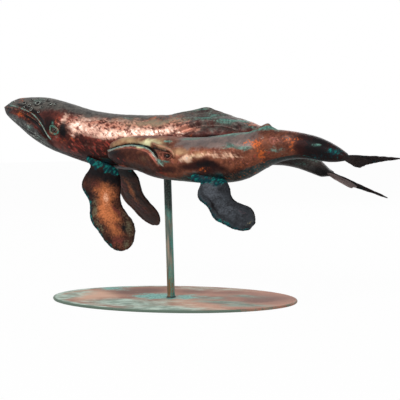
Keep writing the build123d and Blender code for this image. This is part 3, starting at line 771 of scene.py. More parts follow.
wx, wz = wander(p, x, z)
brow_line = (
    (-260, 92), (-205, 86), (-165, 83), (-140, 77), (-114, 72), (-70, 67), (-20, 64), (210, 64),
)
over_brow = above_line(wx, wz, brow_line)
aft = smooth(0, 60, x)
mother_marks = {
    "rose": most(
        0.6 * swell(wz, 61, 13) * smooth(-160, -130, wx) * (1 - smooth(12, 56, wx)),
        patches(wx, wz, (10, 32, 40, 8, 0.34), (70, 28, 40, 8, 0.3)),
    ),
    "scarlet": most(
        0.48 * swell(wz, 34, 15) * smooth(-155, -130, wx) * (1 - smooth(-60, -20, wx)),
        patches(
            wx, wz, (-178, 78, 8, 7, 0.36), (-180, 61, 9, 5, 0.42), (-206, 79, 14, 5, 0.6),
            (-128, 70, 14, 6, 0.36), (-150, 68, 5, 6, 0.62), (-146, 46, 16, 5, 0.5),
            (-126, 42, 10, 8, 0.5), (0, 24, 60, 12, 0.36), (90, 26, 40, 10, 0.34),
        ),
    ),
    "gold": patches(
        wx, wz, (-15, 62, 44, 6, 0.8), (-60, 67, 34, 5, 0.6), (-216, 98, 13, 5, 0.85),
        (30, 64, 34, 5, 0.5),
    ),
    # Painted highlight: the bright band along the upper flank and behind the eye.
    "painted_highlight": patches(
        wx, wz, (-120, 60, 18, 10, 0.92), (-97, 54, 22, 9, 0.7), (-71, 50, 26, 8, 0.86),
        (-40, 50, 32, 7, 0.94), (-8, 50, 36, 6, 0.95), (20, 50, 20, 5, 0.86), (-106, 70, 26, 6, 0.6),
        (-95, 36, 20, 8, 0.3), (-141, 69, 8, 8, 0.8), (40, 54, 12, 3, 0.45), (-128, 48, 6, 8, 0.5),
        (-60, 66, 40, 6, 0.45),
    ) * smooth(-152, -138, x),
    "pewter": most(
        smooth(-9, 10, over_brow) * (1 - 0.3 * aft),
        0.95 * smooth(-4, -10, lip_gap) * smooth(0.0, 0.06, under) * (1 - smooth(-140, -100, x)),
        0.62 * aft * smooth(38, 52, wz),
        0.85 * smooth(110, 150, x),
    ),
    # Painted shade low on the flank, under the belly, in the lip groove and round the eye, with umber
    # tone towards the tail.
    "umber_and_shade": most(
        0.8 * smooth(48, 24, wz) * smooth(-160, -130, x) * (1 - smooth(90, 150, x)),
        0.3 * smooth(110, 170, x),
        groove * smooth(1, -2, upper_gap) * swell(lip_gap, -1, 7.5) * (1 - 0.7 * smooth(-192, -214, x)),
        0.75 * smooth(0.5, 0.8, under) * smooth(-120, -80, x),
        patches(
            wx, wz, (-166, 67, 13, 14, 1.1), (-184, 82, 14, 5, 0.8), (66, 50, 24, 5, 0.15),
            (-138, 54, 8, 13, 0.8), (-240, 94, 13, 6, 0.8), (-110, 40, 20, 6, 0.7),
        ),
    ),
    "ember": patches(
        wx, wz, (109, 57, 8, 4, 0.7), (90, 60, 12, 3, 0.4), (41, 44, 5, 3, 0.75),
        (-213, 82, 9, 3.5, 0.8), (-203, 78, 9, 3.5, 0.9), (-194, 74, 8, 3, 0.7), (-130, 42, 16, 7, 0.4),
        (-60, 67, 34, 5, 0.4), (0, 67, 40, 4, 0.46), (-150, 67, 4, 5, 0.6), (-217, 98, 10, 5, 0.62),
        (-75, 28, 12, 9, 0.4), (-20, 66, 10, 3, 0.7), (16, 67, 9, 2.5, 0.6), (113, 55, 9, 4, 0.8),
    ),
    "verdigris": most(
        patches(
            wx, wz, (50, 65, 34, 4, 0.66), (88, 60, 26, 4, 0.66), (10, 63, 34, 3, 0.5),
            (-150, 46, 7, 3, 0.4), (120, 50, 18, 4, 0.48), (172, 14, 24, 8, 0.42),
            (-232, 91, 8, 2.5, 0.5), (-60, 69, 40, 3, 0.36), (-192, 95, 18, 7, 0.36),
            (-154, 56, 9, 7, 0.5), (62, 72, 40, 4, 0.4), (-168, 101, 16, 3, 0.5),
            (-200, 62, 14, 4, 0.42), (-180, 46, 16, 4, 0.4), (-84, 18, 16, 4, 0.4),
            (-155, 64, 3, 4, 0.5), (-10, 6, 50, 6, 0.34), (96, 20, 34, 5, 0.36),
        ),
        0.3 * groove * swell(upper_gap, 0, 2.4),
    ),
    # Painted pink highlights, the longest along the upper edge of the flank fold.
    "pink_highlight": patches(
        wx, wz, (-243, 84, 6, 4, 0.5), (-196, 68, 8, 3, 0.5), (-130, 36, 8, 5, 0.4),
        (34, 52, 20, 4.5, 0.95), (58, 57, 18, 2, 0.4),
    ),
    # Painted grey highlights on the jaw and on the ridges of the pleats.
    "grey_highlight": most(
        patches(
            wx, wz, (-202, 64, 16, 3, 0.5), (-186, 50, 16, 3, 0.46), (-165, 34, 18, 3, 0.4),
            (-178, 95, 26, 9, 0.3),
        ),
        0.42 * pleats * (1 - pleat) * smooth(-150, -190, x),
    ),
    "teal": patches(wx, wz, (-88, 13, 17, 5, 0.7), (-62, 10, 14, 4, 0.6)),
    # Painted shade round the eye, under the flank fold, in the lip groove and between the pleats; soot
    # on the nose tip and towards and under the tail.
    "soot_and_shade": most(
        patches(
            wx, wz, (-140, 56, 5, 11, 1.0), (-167, 63, 8, 9, 0.7), (62, 43, 36, 4, 0.66),
            (205, -6, 34, 18, 0.72), (165, 12, 34, 10, 0.5), (-157, 66, 7, 5, 0.8),
            (-105, 38, 16, 4, 0.5), (-60, 26, 12, 9, 0.4),
        ),
        0.8 * groove * swell(lip_gap, -2.4, 2.6) * smooth(-222, -200, x),
        0.75 * pleats * pleat,
        smooth(-226, -238, wx) * smooth(-15, -6, lip_gap),
        0.85 * groove * swell(upper_gap, 3.4, 2.2) * smooth(-226, -212, x) * smooth(-158, -166, x),
    ),
}
mother_back = mother.sheet("mother_back", mother.back_columns(), mother_marks)
settle(mother_back, "whale_pair", "mother_back_copper", mother_back_copper, "mother_back_shell")
mother_belly = mother.sheet("mother_belly", mother.belly_columns(), mother_marks, SOCKET_RADIUS * MM)
settle(mother_belly, "whale_pair", "mother_belly_copper", mother_belly_copper, "mother_belly_shell")


# Calf's skin

calf = Skin(
    CALF, ("calf_back_shell", "calf_belly_shell"), side=-1, nose=(-64.5, 41), tail=243, stations=260,
    back_steps=96, belly_steps=68,
)
p = calf.flat()
x, y, z = p.T
turn = calf.flat(calf.turn)
under = calf.flat(calf.under)
lip_gap = above_line(x, z, calf.seam)
mouth = 1 - smooth(16, 26, x)
CALF_EYE = (32.5, 33.0)
eye_gap = np.hypot((x - CALF_EYE[0]) / 1.7, z - CALF_EYE[1])
height = 0.4 * grain(p, 30)
height += 0.14 * hammer_marks(p, 9)
lip_roll = 1.8 * swell(lip_gap, 7.5, 3.6) - 2.6 * swell(lip_gap, 2.0, 1.8)
height += mouth * (lip_roll + 1.9 * swell(lip_gap, -7, 5))
height += 1.1 * swell(eye_gap, 6.2, 2.0) - 1.1 * swell(eye_gap, 0, 3.4)
BROW_RIDGE = ((6, 46.5), (12, 44.8), (22, 43), (30, 41), (36, 38.2), (40.5, 35), (43, 31))
brow_gap = above_line(x, z, BROW_RIDGE)
brow = smooth(4, 14, x) * (1 - smooth(42, 46, x))
height += brow * (1.6 * swell(brow_gap, 1.2, 1.9) - 1.3 * swell(brow_gap, -2.2, 1.5))
ARMPIT = ((46, 18), (59, 21.5), (72, 23), (87, 21.5), (98, 18.5), (107, 14))
armpit_gap = off_line(x, z, ARMPIT)[0]
height -= 1.8 * swell(armpit_gap, 0, 4.5) * swell(x, 78, 30) + 0.9 * patch(x, z, (163, 47), (3, 3))
height += 0.5 * swell(np.hypot(x - 163, z - 47), 4, 1.3)
height += 0.9 * swell(turn, 0, 0.16) * smooth(10, 40, x) * (1 - smooth(110, 130, x))
CALF_FIN = ((128, 0), (140, 4.3), (147, 7), (150, 7.8), (152.5, 7), (155.5, 4.3), (162, 0))
height += fin_foot(x, y, turn, CALF_FIN, 5.0)
calf.raise_by(height)

wx, wz = wander(p, x, z)
hollow = off_line(wx, wz, ARMPIT)[0]
tail = smooth(180, 212, wx)
calf_marks = {
    "rose": most(
        0.2 * swell(wz, 30, 16) * (1 - tail),
        patches(wx, wz, (162, 47, 6, 6, 0.7), (22, 24, 8, 8, 0.4)),
    ),
    "gold": patches(
        wx, wz, (2, 49, 18, 5, 1.0), (-24, 52, 20, 5, 0.85), (22, 45, 14, 5, 0.7),
        (-46, 47, 16, 5, 0.6), (50, 38, 14, 5, 0.5), (-2, 29, 11, 5, 0.45), (76, 34, 20, 5, 0.4),
        (96, 3, 18, 6, 0.4),
    ),
    # Painted pale highlights on the snout, the brow ridge and the flank.
    "pale_highlight": most(
        patches(
            wx, wz, (-1, 48.5, 11, 4, 1.25), (14, 46, 8, 3, 0.6), (70, 33, 12, 3, 0.3),
            (61, 32, 5, 3, 0.2),
        ),
        0.4 * brow * swell(brow_gap, 1.4, 1.4),
    ),
    # Painted highlights: a bright spot and a band along the flank.
    "painted_highlight": patches(
        wx, wz, (61, 32, 7, 4.5, 1.25), (84, 33, 26, 5, 0.52), (32, 41, 10, 2.5, 0.4),
        (110, 34, 24, 5, 0.36), (40, 42, 12, 3, 0.36),
    ),
    "pewter": most(
        0.95 * smooth(36, 47, wz) * smooth(28, 56, wx) * (1 - smooth(128, 160, wx)),
        0.95 * smooth(0.15, 0.4, under) * smooth(25, 60, x),
        0.6 * smooth(0.35, 0.6, under),
        patches(
            wx, wz, (84, 6, 40, 9, 1.1), (168, 41, 14, 8, 0.4), (190, 50, 30, 4, 0.5),
            (228, 36, 16, 10, 0.6),
        ),
    ),
    # Painted shade under the mouth, low on the flank and in the hollow above the flipper, with umber
    # tone over the tail.
    "umber_and_shade": most(
        (0.6 + 0.4 * smooth(-20, -50, x)) * mouth * smooth(-2.5, -5, lip_gap),
        0.5 * smooth(14, 6, wz) * smooth(20, 50, x),
        1.2 * swell(hollow, 0, 6.5) * swell(wx, 80, 32),
        patches(
            wx, wz, (26, 18, 30, 6, 0.8), (120, 13, 24, 6, 0.5), (88, 16, 24, 6, 0.9),
            (-10, 16, 20, 8, 0.7),
        ),
        1.05 * smooth(172, 200, wx),
        0.36 * smooth(125, 150, wx),
    ),
    "scarlet": patches(
        wx, wz, (203, 44, 10, 10, 0.4), (226, 38, 12, 6, 0.36), (-40, 32, 20, 8, 0.34),
        (18, 12, 18, 6, 0.46), (150, 30, 20, 8, 0.3),
    ),
    "ember": patches(
        wx, wz, (134, 47, 12, 3.5, 0.8), (144, 43, 10, 6, 0.86), (149, 33, 8, 11, 0.78),
        (180, 48, 13, 4, 0.62), (184, 41, 5, 9, 0.56), (80, 18, 14, 2.5, 0.7), (126, 16, 20, 9, 0.42),
        (112, 9, 20, 6, 0.5), (191, 46, 9, 3, 0.5), (136, 22, 12, 7, 0.44),
    ),
    "verdigris": most(
        patches(
            wx, wz, (25, 27, 5, 6, 0.85), (31, 27.5, 8, 2, 0.7), (117, 41, 22, 4, 0.6),
            (162, 37, 14, 4.5, 0.52), (-4, 50, 6, 2, 0.5), (213, 40, 6, 2.5, 0.8),
            (28, 51, 9, 2.5, 0.7), (50, 50, 14, 2, 0.5), (14, 38, 6, 5, 0.4), (45, 2, 24, 6, 0.42),
        ),
        (0.58 + 0.4 * grain(p, 16)) * swell(turn + 0.12 * grain(p, 9), 0.1, 0.34) * smooth(20, 50, x)
        * (1 - smooth(160, 190, x)),
    ),
    # Painted pink highlights on the lip rim, the chin, the brow ridge and the snout tip.
    "pink_highlight": most(
        0.9 * mouth * swell(lip_gap, -3.2, 1.1) * smooth(-44, -20, x),
        0.75 * brow * swell(brow_gap, 1.3, 1.3),
        patches(wx, wz, (-44, 21, 12, 2.6, 0.9), (-60, 32, 3, 7, 0.6)),
        0.8 * smooth(-60.5, -63, x),
    ),
    # Painted grey highlights under the upper lip and on the flank.
    "grey_highlight": most(
        0.66 * mouth * swell(lip_gap, -1.2, 1.1),
        patches(wx, wz, (61, 32.5, 3.5, 2, 0.8), (150, 50, 3, 3, 0.5)),
    ),
    "teal": patches(
        wx, wz, (70, 6, 12, 8, 0.85), (98, 7, 8, 6, 0.66), (84, 3, 24, 6, 0.55), (231, 32, 12, 8, 0.56),
        (208, 27, 20, 5, 0.48),
    ),
    # Painted shade in the hollow above the flipper, in the mouth groove, under the brow and round the
    # eye, and dark tone over the tail.
    "soot_and_shade": most(
        0.7 * swell(hollow, 0, 4.5) * swell(wx, 84, 24),
        0.75 * patch(wx, wz, (-50, 40), (14, 5)),
        0.72 * tail * (1 - 0.35 * smooth(214, 236, x)),
        0.95 * mouth * swell(lip_gap, 1.9, 1.6),
        0.8 * brow * swell(brow_gap, -2.4, 1.6) * smooth(43, 37, x),
        0.9 * patch(x, z, CALF_EYE, (6, 3.4)),
    ),
}
calf_back = calf.sheet("calf_back", calf.back_columns(), calf_marks)
settle(calf_back, "whale_pair", "calf_back_copper", calf_back_copper, "calf_back_shell")
calf_belly = calf.sheet("calf_belly", calf.belly_columns(), calf_marks)
settle(calf_belly, "whale_pair", "calf_belly_copper", calf_belly_copper, "calf_belly_shell")


# Lips

mother_tree = mother.skin_tree()
calf_tree = calf.skin_tree()


def lip(name, skin, corner, radius, node, finish, front, back):
    """A hand-drawn bead along the mouth, worn by the given shares at the snout and the corners."""
    path = skin.mouth_path(corner)[::2]
    share = np.abs(np.linspace(-1, 1, len(path)))
    size = radius * (1 - 0.45 * smooth(0.75, 1.0, share)) * (1 + 0.12 * np.sin(share * 60))
    worn = front + (back - front) * smooth(0.4, 0.9, share)
    piece = bead(name, skin.placed(path), size * MM, marks={"worn": worn})
    return settle(piece, "whale_pair", "verdigris", finish, node)


LIP_STEPS = 71


def upper_lip(side_name, side):
    """The fine pale edge of the mother's upper lip."""
    line = np.array(UPPER_LIP)
    steps = np.linspace(0, len(line) - 1, LIP_STEPS)
    xs = Skin.soften(np.interp(steps, range(len(line)), line[:, 0]), 5)
    zs = Skin.soften(np.interp(steps, range(len(line)), line[:, 1]), 5)
    path = []
    for at_x, at_z in zip(xs, zs):
        point, out = mother.seat(mother_tree, at_x, at_z, side)
        path.append(point + out * 0.2)
    share = np.linspace(0, 1, len(path))
    size = (
        0.6 * smooth(0, 0.15, share) * (1 + 0.25 * np.sin(share * 47))
        + 0.3 * smooth(0.8, 0.95, share) + 0.1
    )
    worn = 0.45 - 0.2 * smooth(0.45, 0.95, share) + 0.12 * np.sin(share * 31)
    piece = bead(f"mother_{side_name}_lip_edge", mother.placed(path), size * MM, marks={"worn": worn})
    return settle(piece, "whale_pair", "verdigris", lip_crust)


lip(
    "mother_lip_bead", mother, corner=-159.5, radius=0.8, node="mother_lip", finish=verdigris,
    front=1.1, back=0.9,
)
lip(
    "calf_lip_bead", calf, corner=27, radius=0.8, node="calf_lip", finish=lip_crust, front=0.3,
    back=0.2,
)
for side_name, side in SIDES:
    upper_lip(side_name, side)


# Flippers, flukes and dorsal fins

def worked_copy(node, voxel, rounds):
    """A fine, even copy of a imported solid, softened as a hand-worked casting is."""
    source = bpy.data.objects.new("source", nodes[node].data.copy())
    bpy.context.scene.collection.objects.link(source)
    remesh = source.modifiers.new("even", "REMESH")
    remesh.mode = "VOXEL"
    remesh.voxel_size = voxel * MM
    soften = source.modifiers.new("soften", "SMOOTH")
    soften.iterations = rounds
    soften.factor = 0.5
    ready = source.evaluated_get(bpy.context.evaluated_depsgraph_get()).to_mesh()
    points = np.zeros(len(ready.vertices) * 3)
    ready.vertices.foreach_get("co", points)
    out = np.zeros(len(ready.vertices) * 3)
    ready.vertices.foreach_get("normal", out)
    faces = [tuple(face.vertices) for face in ready.polygons]
    source.to_mesh_clear()
    bpy.data.objects.remove(source)
    return points.reshape(-1, 3) / MM, out.reshape(-1, 3), faces


BLADE_SLOTS = 48


def blade_measure(points, root, ahead):
    """Share along a blade, and the distances from its leading and trailing edges."""
    centre = points.mean(0)
    axes = np.linalg.svd(points - centre, full_matrices=False)[2]
    length = axes[0] * (1 if (centre - root) @ axes[0] > 0 else -1)
    chord = axes[1] * (1 if axes[1] @ ahead > 0 else -1)
    along = (points - centre) @ length
    along = (along - along.min()) / (along.max() - along.min())
    wide = (points - centre) @ chord
    slots = np.clip((along * BLADE_SLOTS).astype(int), 0, BLADE_SLOTS - 1)
    filled = [s for s in range(BLADE_SLOTS) if np.any(slots == s)]
    middles = (np.array(filled) + 0.5) / BLADE_SLOTS
    fore = np.interp(along, middles, [wide[slots == s].max() for s in filled])
    aft = np.interp(along, middles, [wide[slots == s].min() for s in filled])
    return along, fore - wide, wide - aft


def flipper(
    node, skin, tree, slot, finish, rim, painted_highlights, mosses, scarlets, burns, edge_stain, highlight_spot, root_soot_and_shade,
):
    """A flipper with a thick knobbed leading rim, dark edges, a root stained by the braze and darkened
    with painted shade, and painted highlights on its face.
    """
    points, out, faces = worked_copy(node, 0.9, 3)
    inward = np.array(skin.whale.inverted())
    places = points @ inward[:3, :3].T + inward[:3, 3] / MM
    depth = np.array([tree.find_nearest(Vector(place))[3] for place in places])
    root = points[depth < 3].mean(0)
    along, fore, aft = blade_measure(points, root, np.array((-1.0, 0, -0.2)))
    edge = np.minimum(fore, aft)
    across = fore / np.maximum(fore + aft, 1)
    lumps = 0.6 + 0.4 * np.sin(along * 40)
    height = rim * lumps * swell(fore, 3.0, 2.4) - 0.5 * rim * swell(fore, 8.0, 2.2)
    height += 0.25 * hammer_marks(points, 7) + 0.35 * grain(points, 16)
    points = points + out * height[:, None]
    rough = grain(points, 7)
    along = along + 0.03 * rough
    across = across + 0.08 * rough
    marks = {
        # Painted highlights on the blade and one painted highlight spot.
        "painted_highlight": patches(along, across, *painted_highlights),
        "moss": patches(along, across, *mosses),
        "highlight_spot": highlight_spot * patch(along, across, (0.46, 0.54), (0.07, 0.11)),
        "scarlet": patches(along, across, *scarlets),
        "verdigris": most(
            smooth(17, 8, depth + 5 * rough) * (0.7 + 0.4 * grain(points, 8))
            * smooth(0.42, 0.28, along),
            edge_stain * smooth(6, 1.5, fore + 2 * rough) * smooth(0.15, 0.35, along),
        ),
        # Dark edges and burns, and painted shade at the root.
        "soot_and_shade": most(
            0.7 * smooth(3.0, 0.8, edge + rough),
            root_soot_and_shade * swell(depth, 17, 11),
            patches(along, across, *burns),
        ),
    }
    piece = make_piece(node + "_blade", points * MM, faces, marks)
    return settle(piece, "whale_pair", slot, finish, node)


flipper(
    "mother_left_flipper", mother, mother_tree, "flipper_copper", flipper_copper, rim=0.7,
    painted_highlights=(
        (0.45, 0.53, 0.13, 0.25, 1.2), (0.6, 0.49, 0.15, 0.25, 1.15), (0.76, 0.44, 0.14, 0.2, 0.7),
        (0.9, 0.4, 0.1, 0.2, 0.35),
    ),
    mosses=(
        (0.53, 0.16, 0.13, 0.14, 0.85), (0.7, 0.12, 0.14, 0.1, 0.7), (0.8, 0.85, 0.2, 0.22, 0.7),
        (0.95, 0.6, 0.07, 0.3, 0.7),
    ),
    scarlets=(
        (0.62, 0.75, 0.1, 0.1, 0.6), (0.9, 0.4, 0.07, 0.3, 0.55), (0.76, 0.56, 0.06, 0.1, 0.5),
        (0.3, 0.4, 0.06, 0.2, 0.4),
    ),
    burns=((0.81, 0.72, 0.035, 0.06, 1.0), (0.37, 0.06, 0.08, 0.14, 0.75)), edge_stain=0.6, highlight_spot=0.62,
    root_soot_and_shade=0.85,
)
flipper(
    "mother_right_flipper", mother, mother_tree, "flipper_copper", flipper_copper, rim=0.7,
    painted_highlights=((0.45, 0.58, 0.2, 0.1, 0.62), (0.3, 0.25, 0.16, 0.2, 0.25)),
    mosses=((0.42, 0.66, 0.26, 0.1, 0.5),),
    scarlets=((0.3, 0.3, 0.2, 0.16, 0.6), (0.7, 0.5, 0.16, 0.2, 0.4)),
    burns=((0.55, 0.8, 0.3, 0.08, 0.6), (0.92, 0.5, 0.1, 0.4, 0.5)), edge_stain=0.2, highlight_spot=0,
    root_soot_and_shade=0.85,
)
for side_name, _ in SIDES:
    flipper(
        f"calf_{side_name}_flipper", calf, calf_tree, "dark_patina", dark_patina, rim=1.2,
        painted_highlights=((0.28, 0.5, 0.18, 0.34, 0.85), (0.6, 0.5, 0.2, 0.25, 0.5)),
        mosses=((0.97, 0.6, 0.03, 0.3, 0.5), (0.9, 0.98, 0.1, 0.06, 0.5)),
        scarlets=((0.8, 0.7, 0.1, 0.1, 0.3),), burns=((0.5, 0.2, 0.3, 0.05, 0.7),), edge_stain=0.5,
        highlight_spot=0, root_soot_and_shade=0.4,
    )


def tail_flukes(node, pale):
    """Both tail lobes, creased and near black, one of them painted paler below, as if lit."""
    points, out, faces = worked_copy(node, 0.9, 3)
    centre = points.mean(0)
    span = points[:, 1] - centre[1]
    height = (
        0.3 * hammer_marks(points, 8) + 0.4 * grain(points, 14) + 0.3 * grain(points, 5, (0.4, 1, 1))
    )
    points = points + out * height[:, None]
    lumps = grain(points, 11)
    # Painted light: one lobe is made paler as if lit, most of all where it faces down, and the rest is
    # darkened as painted shade.
    light = pale * smooth(-6, -18, span) * (0.75 + 0.25 * smooth(0.2, -0.5, out[:, 2]))
    marks = {
        "painted_highlight": light * (1 + 0.4 * lumps),
        "moss": 0.36 + 0.4 * lumps,
        "verdigris": 0.5 * smooth(26, 6, np.abs(span)) * (0.5 + 0.6 * lumps),
        "soot_and_shade": (0.36 + 0.3 * lumps) * (1 - light),
    }
    piece = make_piece(node + "_lobes", points * MM, faces, marks)
    return settle(piece, "whale_pair", "dark_patina", fluke_black, node)


tail_flukes("mother_flukes", 0.9)
tail_flukes("calf_flukes", 0.1)


def dorsal_fin(node, slot, finish, marks):
    """A low fin, softened into the back, with the back's own patina."""
    points, out, faces = worked_copy(node, 0.8, 4)
    points = points + out * (0.3 * grain(points, 9) + 0.12 * hammer_marks(points, 7))[:, None]
    rise = points[:, 2] - points[:, 2].min()
    share = rise / rise.max()
    lumps = grain(points, 8)
    values = {
        mark: level + spread * lumps + crest * smooth(0.5, 1.0, share)
        for mark, (level, spread, crest) in marks.items()
    }
    piece = make_piece(node + "_hump", points * MM, faces, values)
    return settle(piece, "whale_pair", slot, finish, node)


MOTHER_FIN_MARKS = {
    "pewter": (0.75, 0.2, 0.1),
    "ember": (0.2, 0.2, 0),
    "verdigris": (0.3, 0.2, 0.12),
    "umber_and_shade": (0.1, 0.2, 0),
}
CALF_FIN_MARKS = {
    "pewter": (0.4, 0.3, 0.3),
    "ember": (0.25, 0.2, 0),
    "verdigris": (0.4, 0.25, 0.1),
    "umber_and_shade": (0.3, 0.2, 0.1),
}
dorsal_fin("mother_dorsal_fin", "mother_back_copper", mother_back_copper, MOTHER_FIN_MARKS)
dorsal_fin("calf_dorsal_fin", "calf_back_copper", calf_back_copper, CALF_FIN_MARKS)


# Eyes and the ringed knobs on the mother's snout

def turned(centre, normal, profile, sides):
    """Points and faces of a small round form on the skin, from its (radius, rise) profile."""
    out = Vector(normal).normalized()
    across = out.cross(Vector((0, 0, 1))).normalized()
    up = across.cross(out)
    points = [Vector(centre) + out * profile[0][1]]
    for radius, rise in profile[1:]:
        for side in range(sides):
            angle = 2 * pi * side / sides
            spoke = across * cos(angle) + up * sin(angle)
            points.append(Vector(centre) + spoke * radius + out * rise)
    faces = [(0, 1 + side, 1 + (side + 1) % sides) for side in range(sides)]
    faces += ring_faces(len(profile) - 1, sides, 1, flipped=True)
    return [tuple(point) for point in points], faces


LID_STEPS = 44
EYE_RADIUS, EYE_SINK, EYE_SIDES = 2.5, 0.7, 24
EYE_ARCS = [pi / 2 * step / 9 for step in range(10)]
EYE_BALL = [(EYE_RADIUS * sin(arc), EYE_RADIUS * cos(arc) - 0.6 / pi * arc) for arc in EYE_ARCS]


def eye(whale_name, skin, tree, place, side, side_name, long, tall, tilt, wire, worn, slot, finish):
    """A dark ball in a hand-bent almond ring on the skin."""
    seat, normal = skin.seat(tree, place[0], place[1], side)
    points, faces = turned(seat - normal * EYE_SINK, normal, EYE_BALL, EYE_SIDES)
    node = f"{whale_name}_{side_name}_eye"
    ball = make_piece(node + "_ball", skin.placed(points), faces)
    settle(ball, "whale_pair", "dark_patina", eye_dark, node)
    path = []
    for step in range(LID_STEPS):
        angle = 2 * pi * step / LID_STEPS
        reach = (cos(angle) ** 4 + sin(angle) ** 4) ** -0.12 * (1 + 0.1 * sin(3 * angle + 0.8))
        length, rise = long * cos(angle) * reach, tall * sin(angle) * reach
        at_x = place[0] + length * cos(tilt) - rise * sin(tilt)
        at_z = place[1] + length * sin(tilt) + rise * cos(tilt)
        point, out = skin.seat(tree, at_x, at_z, side)
        path.append(point + out * 0.25 * wire)
    size = [wire * (1 + 0.3 * sin(5 * s * 0.7) + 0.25 * sin(3.1 * s)) for s in range(LID_STEPS)]
    marks = {
        mark: [level] * LID_STEPS
        for mark, level in (("worn", worn), ("umber_and_shade", 0.35), ("rose", 0.5))
    }
    ring = bead(node + "_lid", skin.placed(path), np.array(size) * MM, True, 9, marks)
    settle(ring, "whale_pair", slot, finish, node + "_ring")


for side_name, side in SIDES:
    eye(
        "mother", mother, mother_tree, MOTHER_EYE, side, side_name, long=6.8, tall=4.6,
        tilt=radians(-24), wire=1.3, worn=0.46, slot="verdigris", finish=verdigris,
    )
    eye(
        "calf", calf, calf_tree, CALF_EYE, side, side_name, long=5.6, tall=3.4, tilt=radians(-12),
        wire=0.9, worn=0.4, slot="calf_back_copper", finish=calf_back_copper,
    )

SNOUT_KNOBS = (
    (-208, 93.5, 2.9), (-200, 97, 2.2), (-198, 89.5, 2.4), (-190, 97.5, 2.0), (-186, 92, 3.7),
    (-192, 84.5, 2.2), (-178, 86.5, 2.0), (-176, 95.5, 2.4), (-168, 90.5, 2.3), (-205, 87.5, 1.6),
    (-162, 90, 1.7), (-180, 80.5, 1.6), (-228, 96, 1.7),
)
KNOB_SIDES = 20
KNOB_PROFILE = (
    (0, 0.06), (0.35, 0.1), (0.62, 0.3), (0.84, 0.4), (1.05, 0.33), (1.25, 0.1), (1.45, -0.15),
)
for side_name, side in SIDES:
    points, faces, rims = [], [], []
    for knob_x, knob_z, radius in SNOUT_KNOBS:
        seat, normal = mother.seat(mother_tree, knob_x, knob_z, side)
        profile = [(share * radius, rise * radius) for share, rise in KNOB_PROFILE]
        knob_points, knob_faces = turned(seat, normal, profile, KNOB_SIDES)
        faces += [tuple(len(points) + i for i in face) for face in knob_faces]
        points += knob_points
        rings = [swell(share, 0.9, 0.28) for share, _ in KNOB_PROFILE[1:]]
        rims += [0.0, *np.repeat(rings, KNOB_SIDES)]
    rims = np.array(rims)
    # Painted highlights on the knobs' rims, and painted shade in their hollow centres.
    marks = {
        "pewter": np.ones_like(rims),
        "grey_highlight": 0.62 * rims,
        "verdigris": 0.36 * rims,
        "soot_and_shade": 0.95 - 1.25 * rims,
    }
    knobs = make_piece(f"mother_{side_name}_snout_knobs", mother.placed(points), faces, marks)
    settle(knobs, "whale_pair", "mother_back_copper", mother_back_copper)


# Rod and plate

def rod():
    """The rod, drawn a little unevenly, with its braze at the foot."""
    low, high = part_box("support_rod")
    foot = np.linspace(low.z, 0.0033, 3)
    shaft = np.linspace(0.0036, high.z - 0.0009, 90)
    heights = np.concatenate((foot, shaft, [high.z]))
    sides, braze = 28, 2.4
    points, green, brown, soot_and_shade = [], [], [], []
    for level in heights:
        for side in range(sides):
            angle = 2 * pi * side / sides
            wave = noise.noise(Vector((cos(angle) * 0.6, sin(angle) * 0.6, level * 40)))
            radius = ROD_RADIUS - 0.05 - 0.09 * abs(wave)
            if level > high.z - 0.0005:
                radius -= 0.8
            rise = level / MM - PLATE_TOP
            if 0 <= rise < braze:
                radius += 1.5 * (1 - rise / braze) ** 2
            points.append((radius * MM * cos(angle), radius * MM * sin(angle), level))
            green.append(0.9 * float(smooth(9, 2, rise)) + 0.3 * wave)
            brown.append(0.75 * float(smooth(60, 10, rise)) * (0.6 - 0.5 * cos(angle - 0.6)))
            # Soot at the braze, and painted shade at the top of the rod, under the belly.
            foot_soot = 0.95 * float(smooth(3.0, 0.8, rise))
            soot_and_shade.append(max(foot_soot, 0.75 * float(smooth(88, 118, rise + 8 * wave))))
    faces = ring_faces(len(heights), sides)
    faces.append(tuple(range(sides))[::-1])
    faces.append(tuple((len(heights) - 1) * sides + side for side in range(sides)))
    piece = make_piece("rod", points, faces, {"verdigris": green, "brown": brown, "soot_and_shade": soot_and_shade})
    return settle(piece, "stand", "rod_patina", rod_finish, "support_rod")


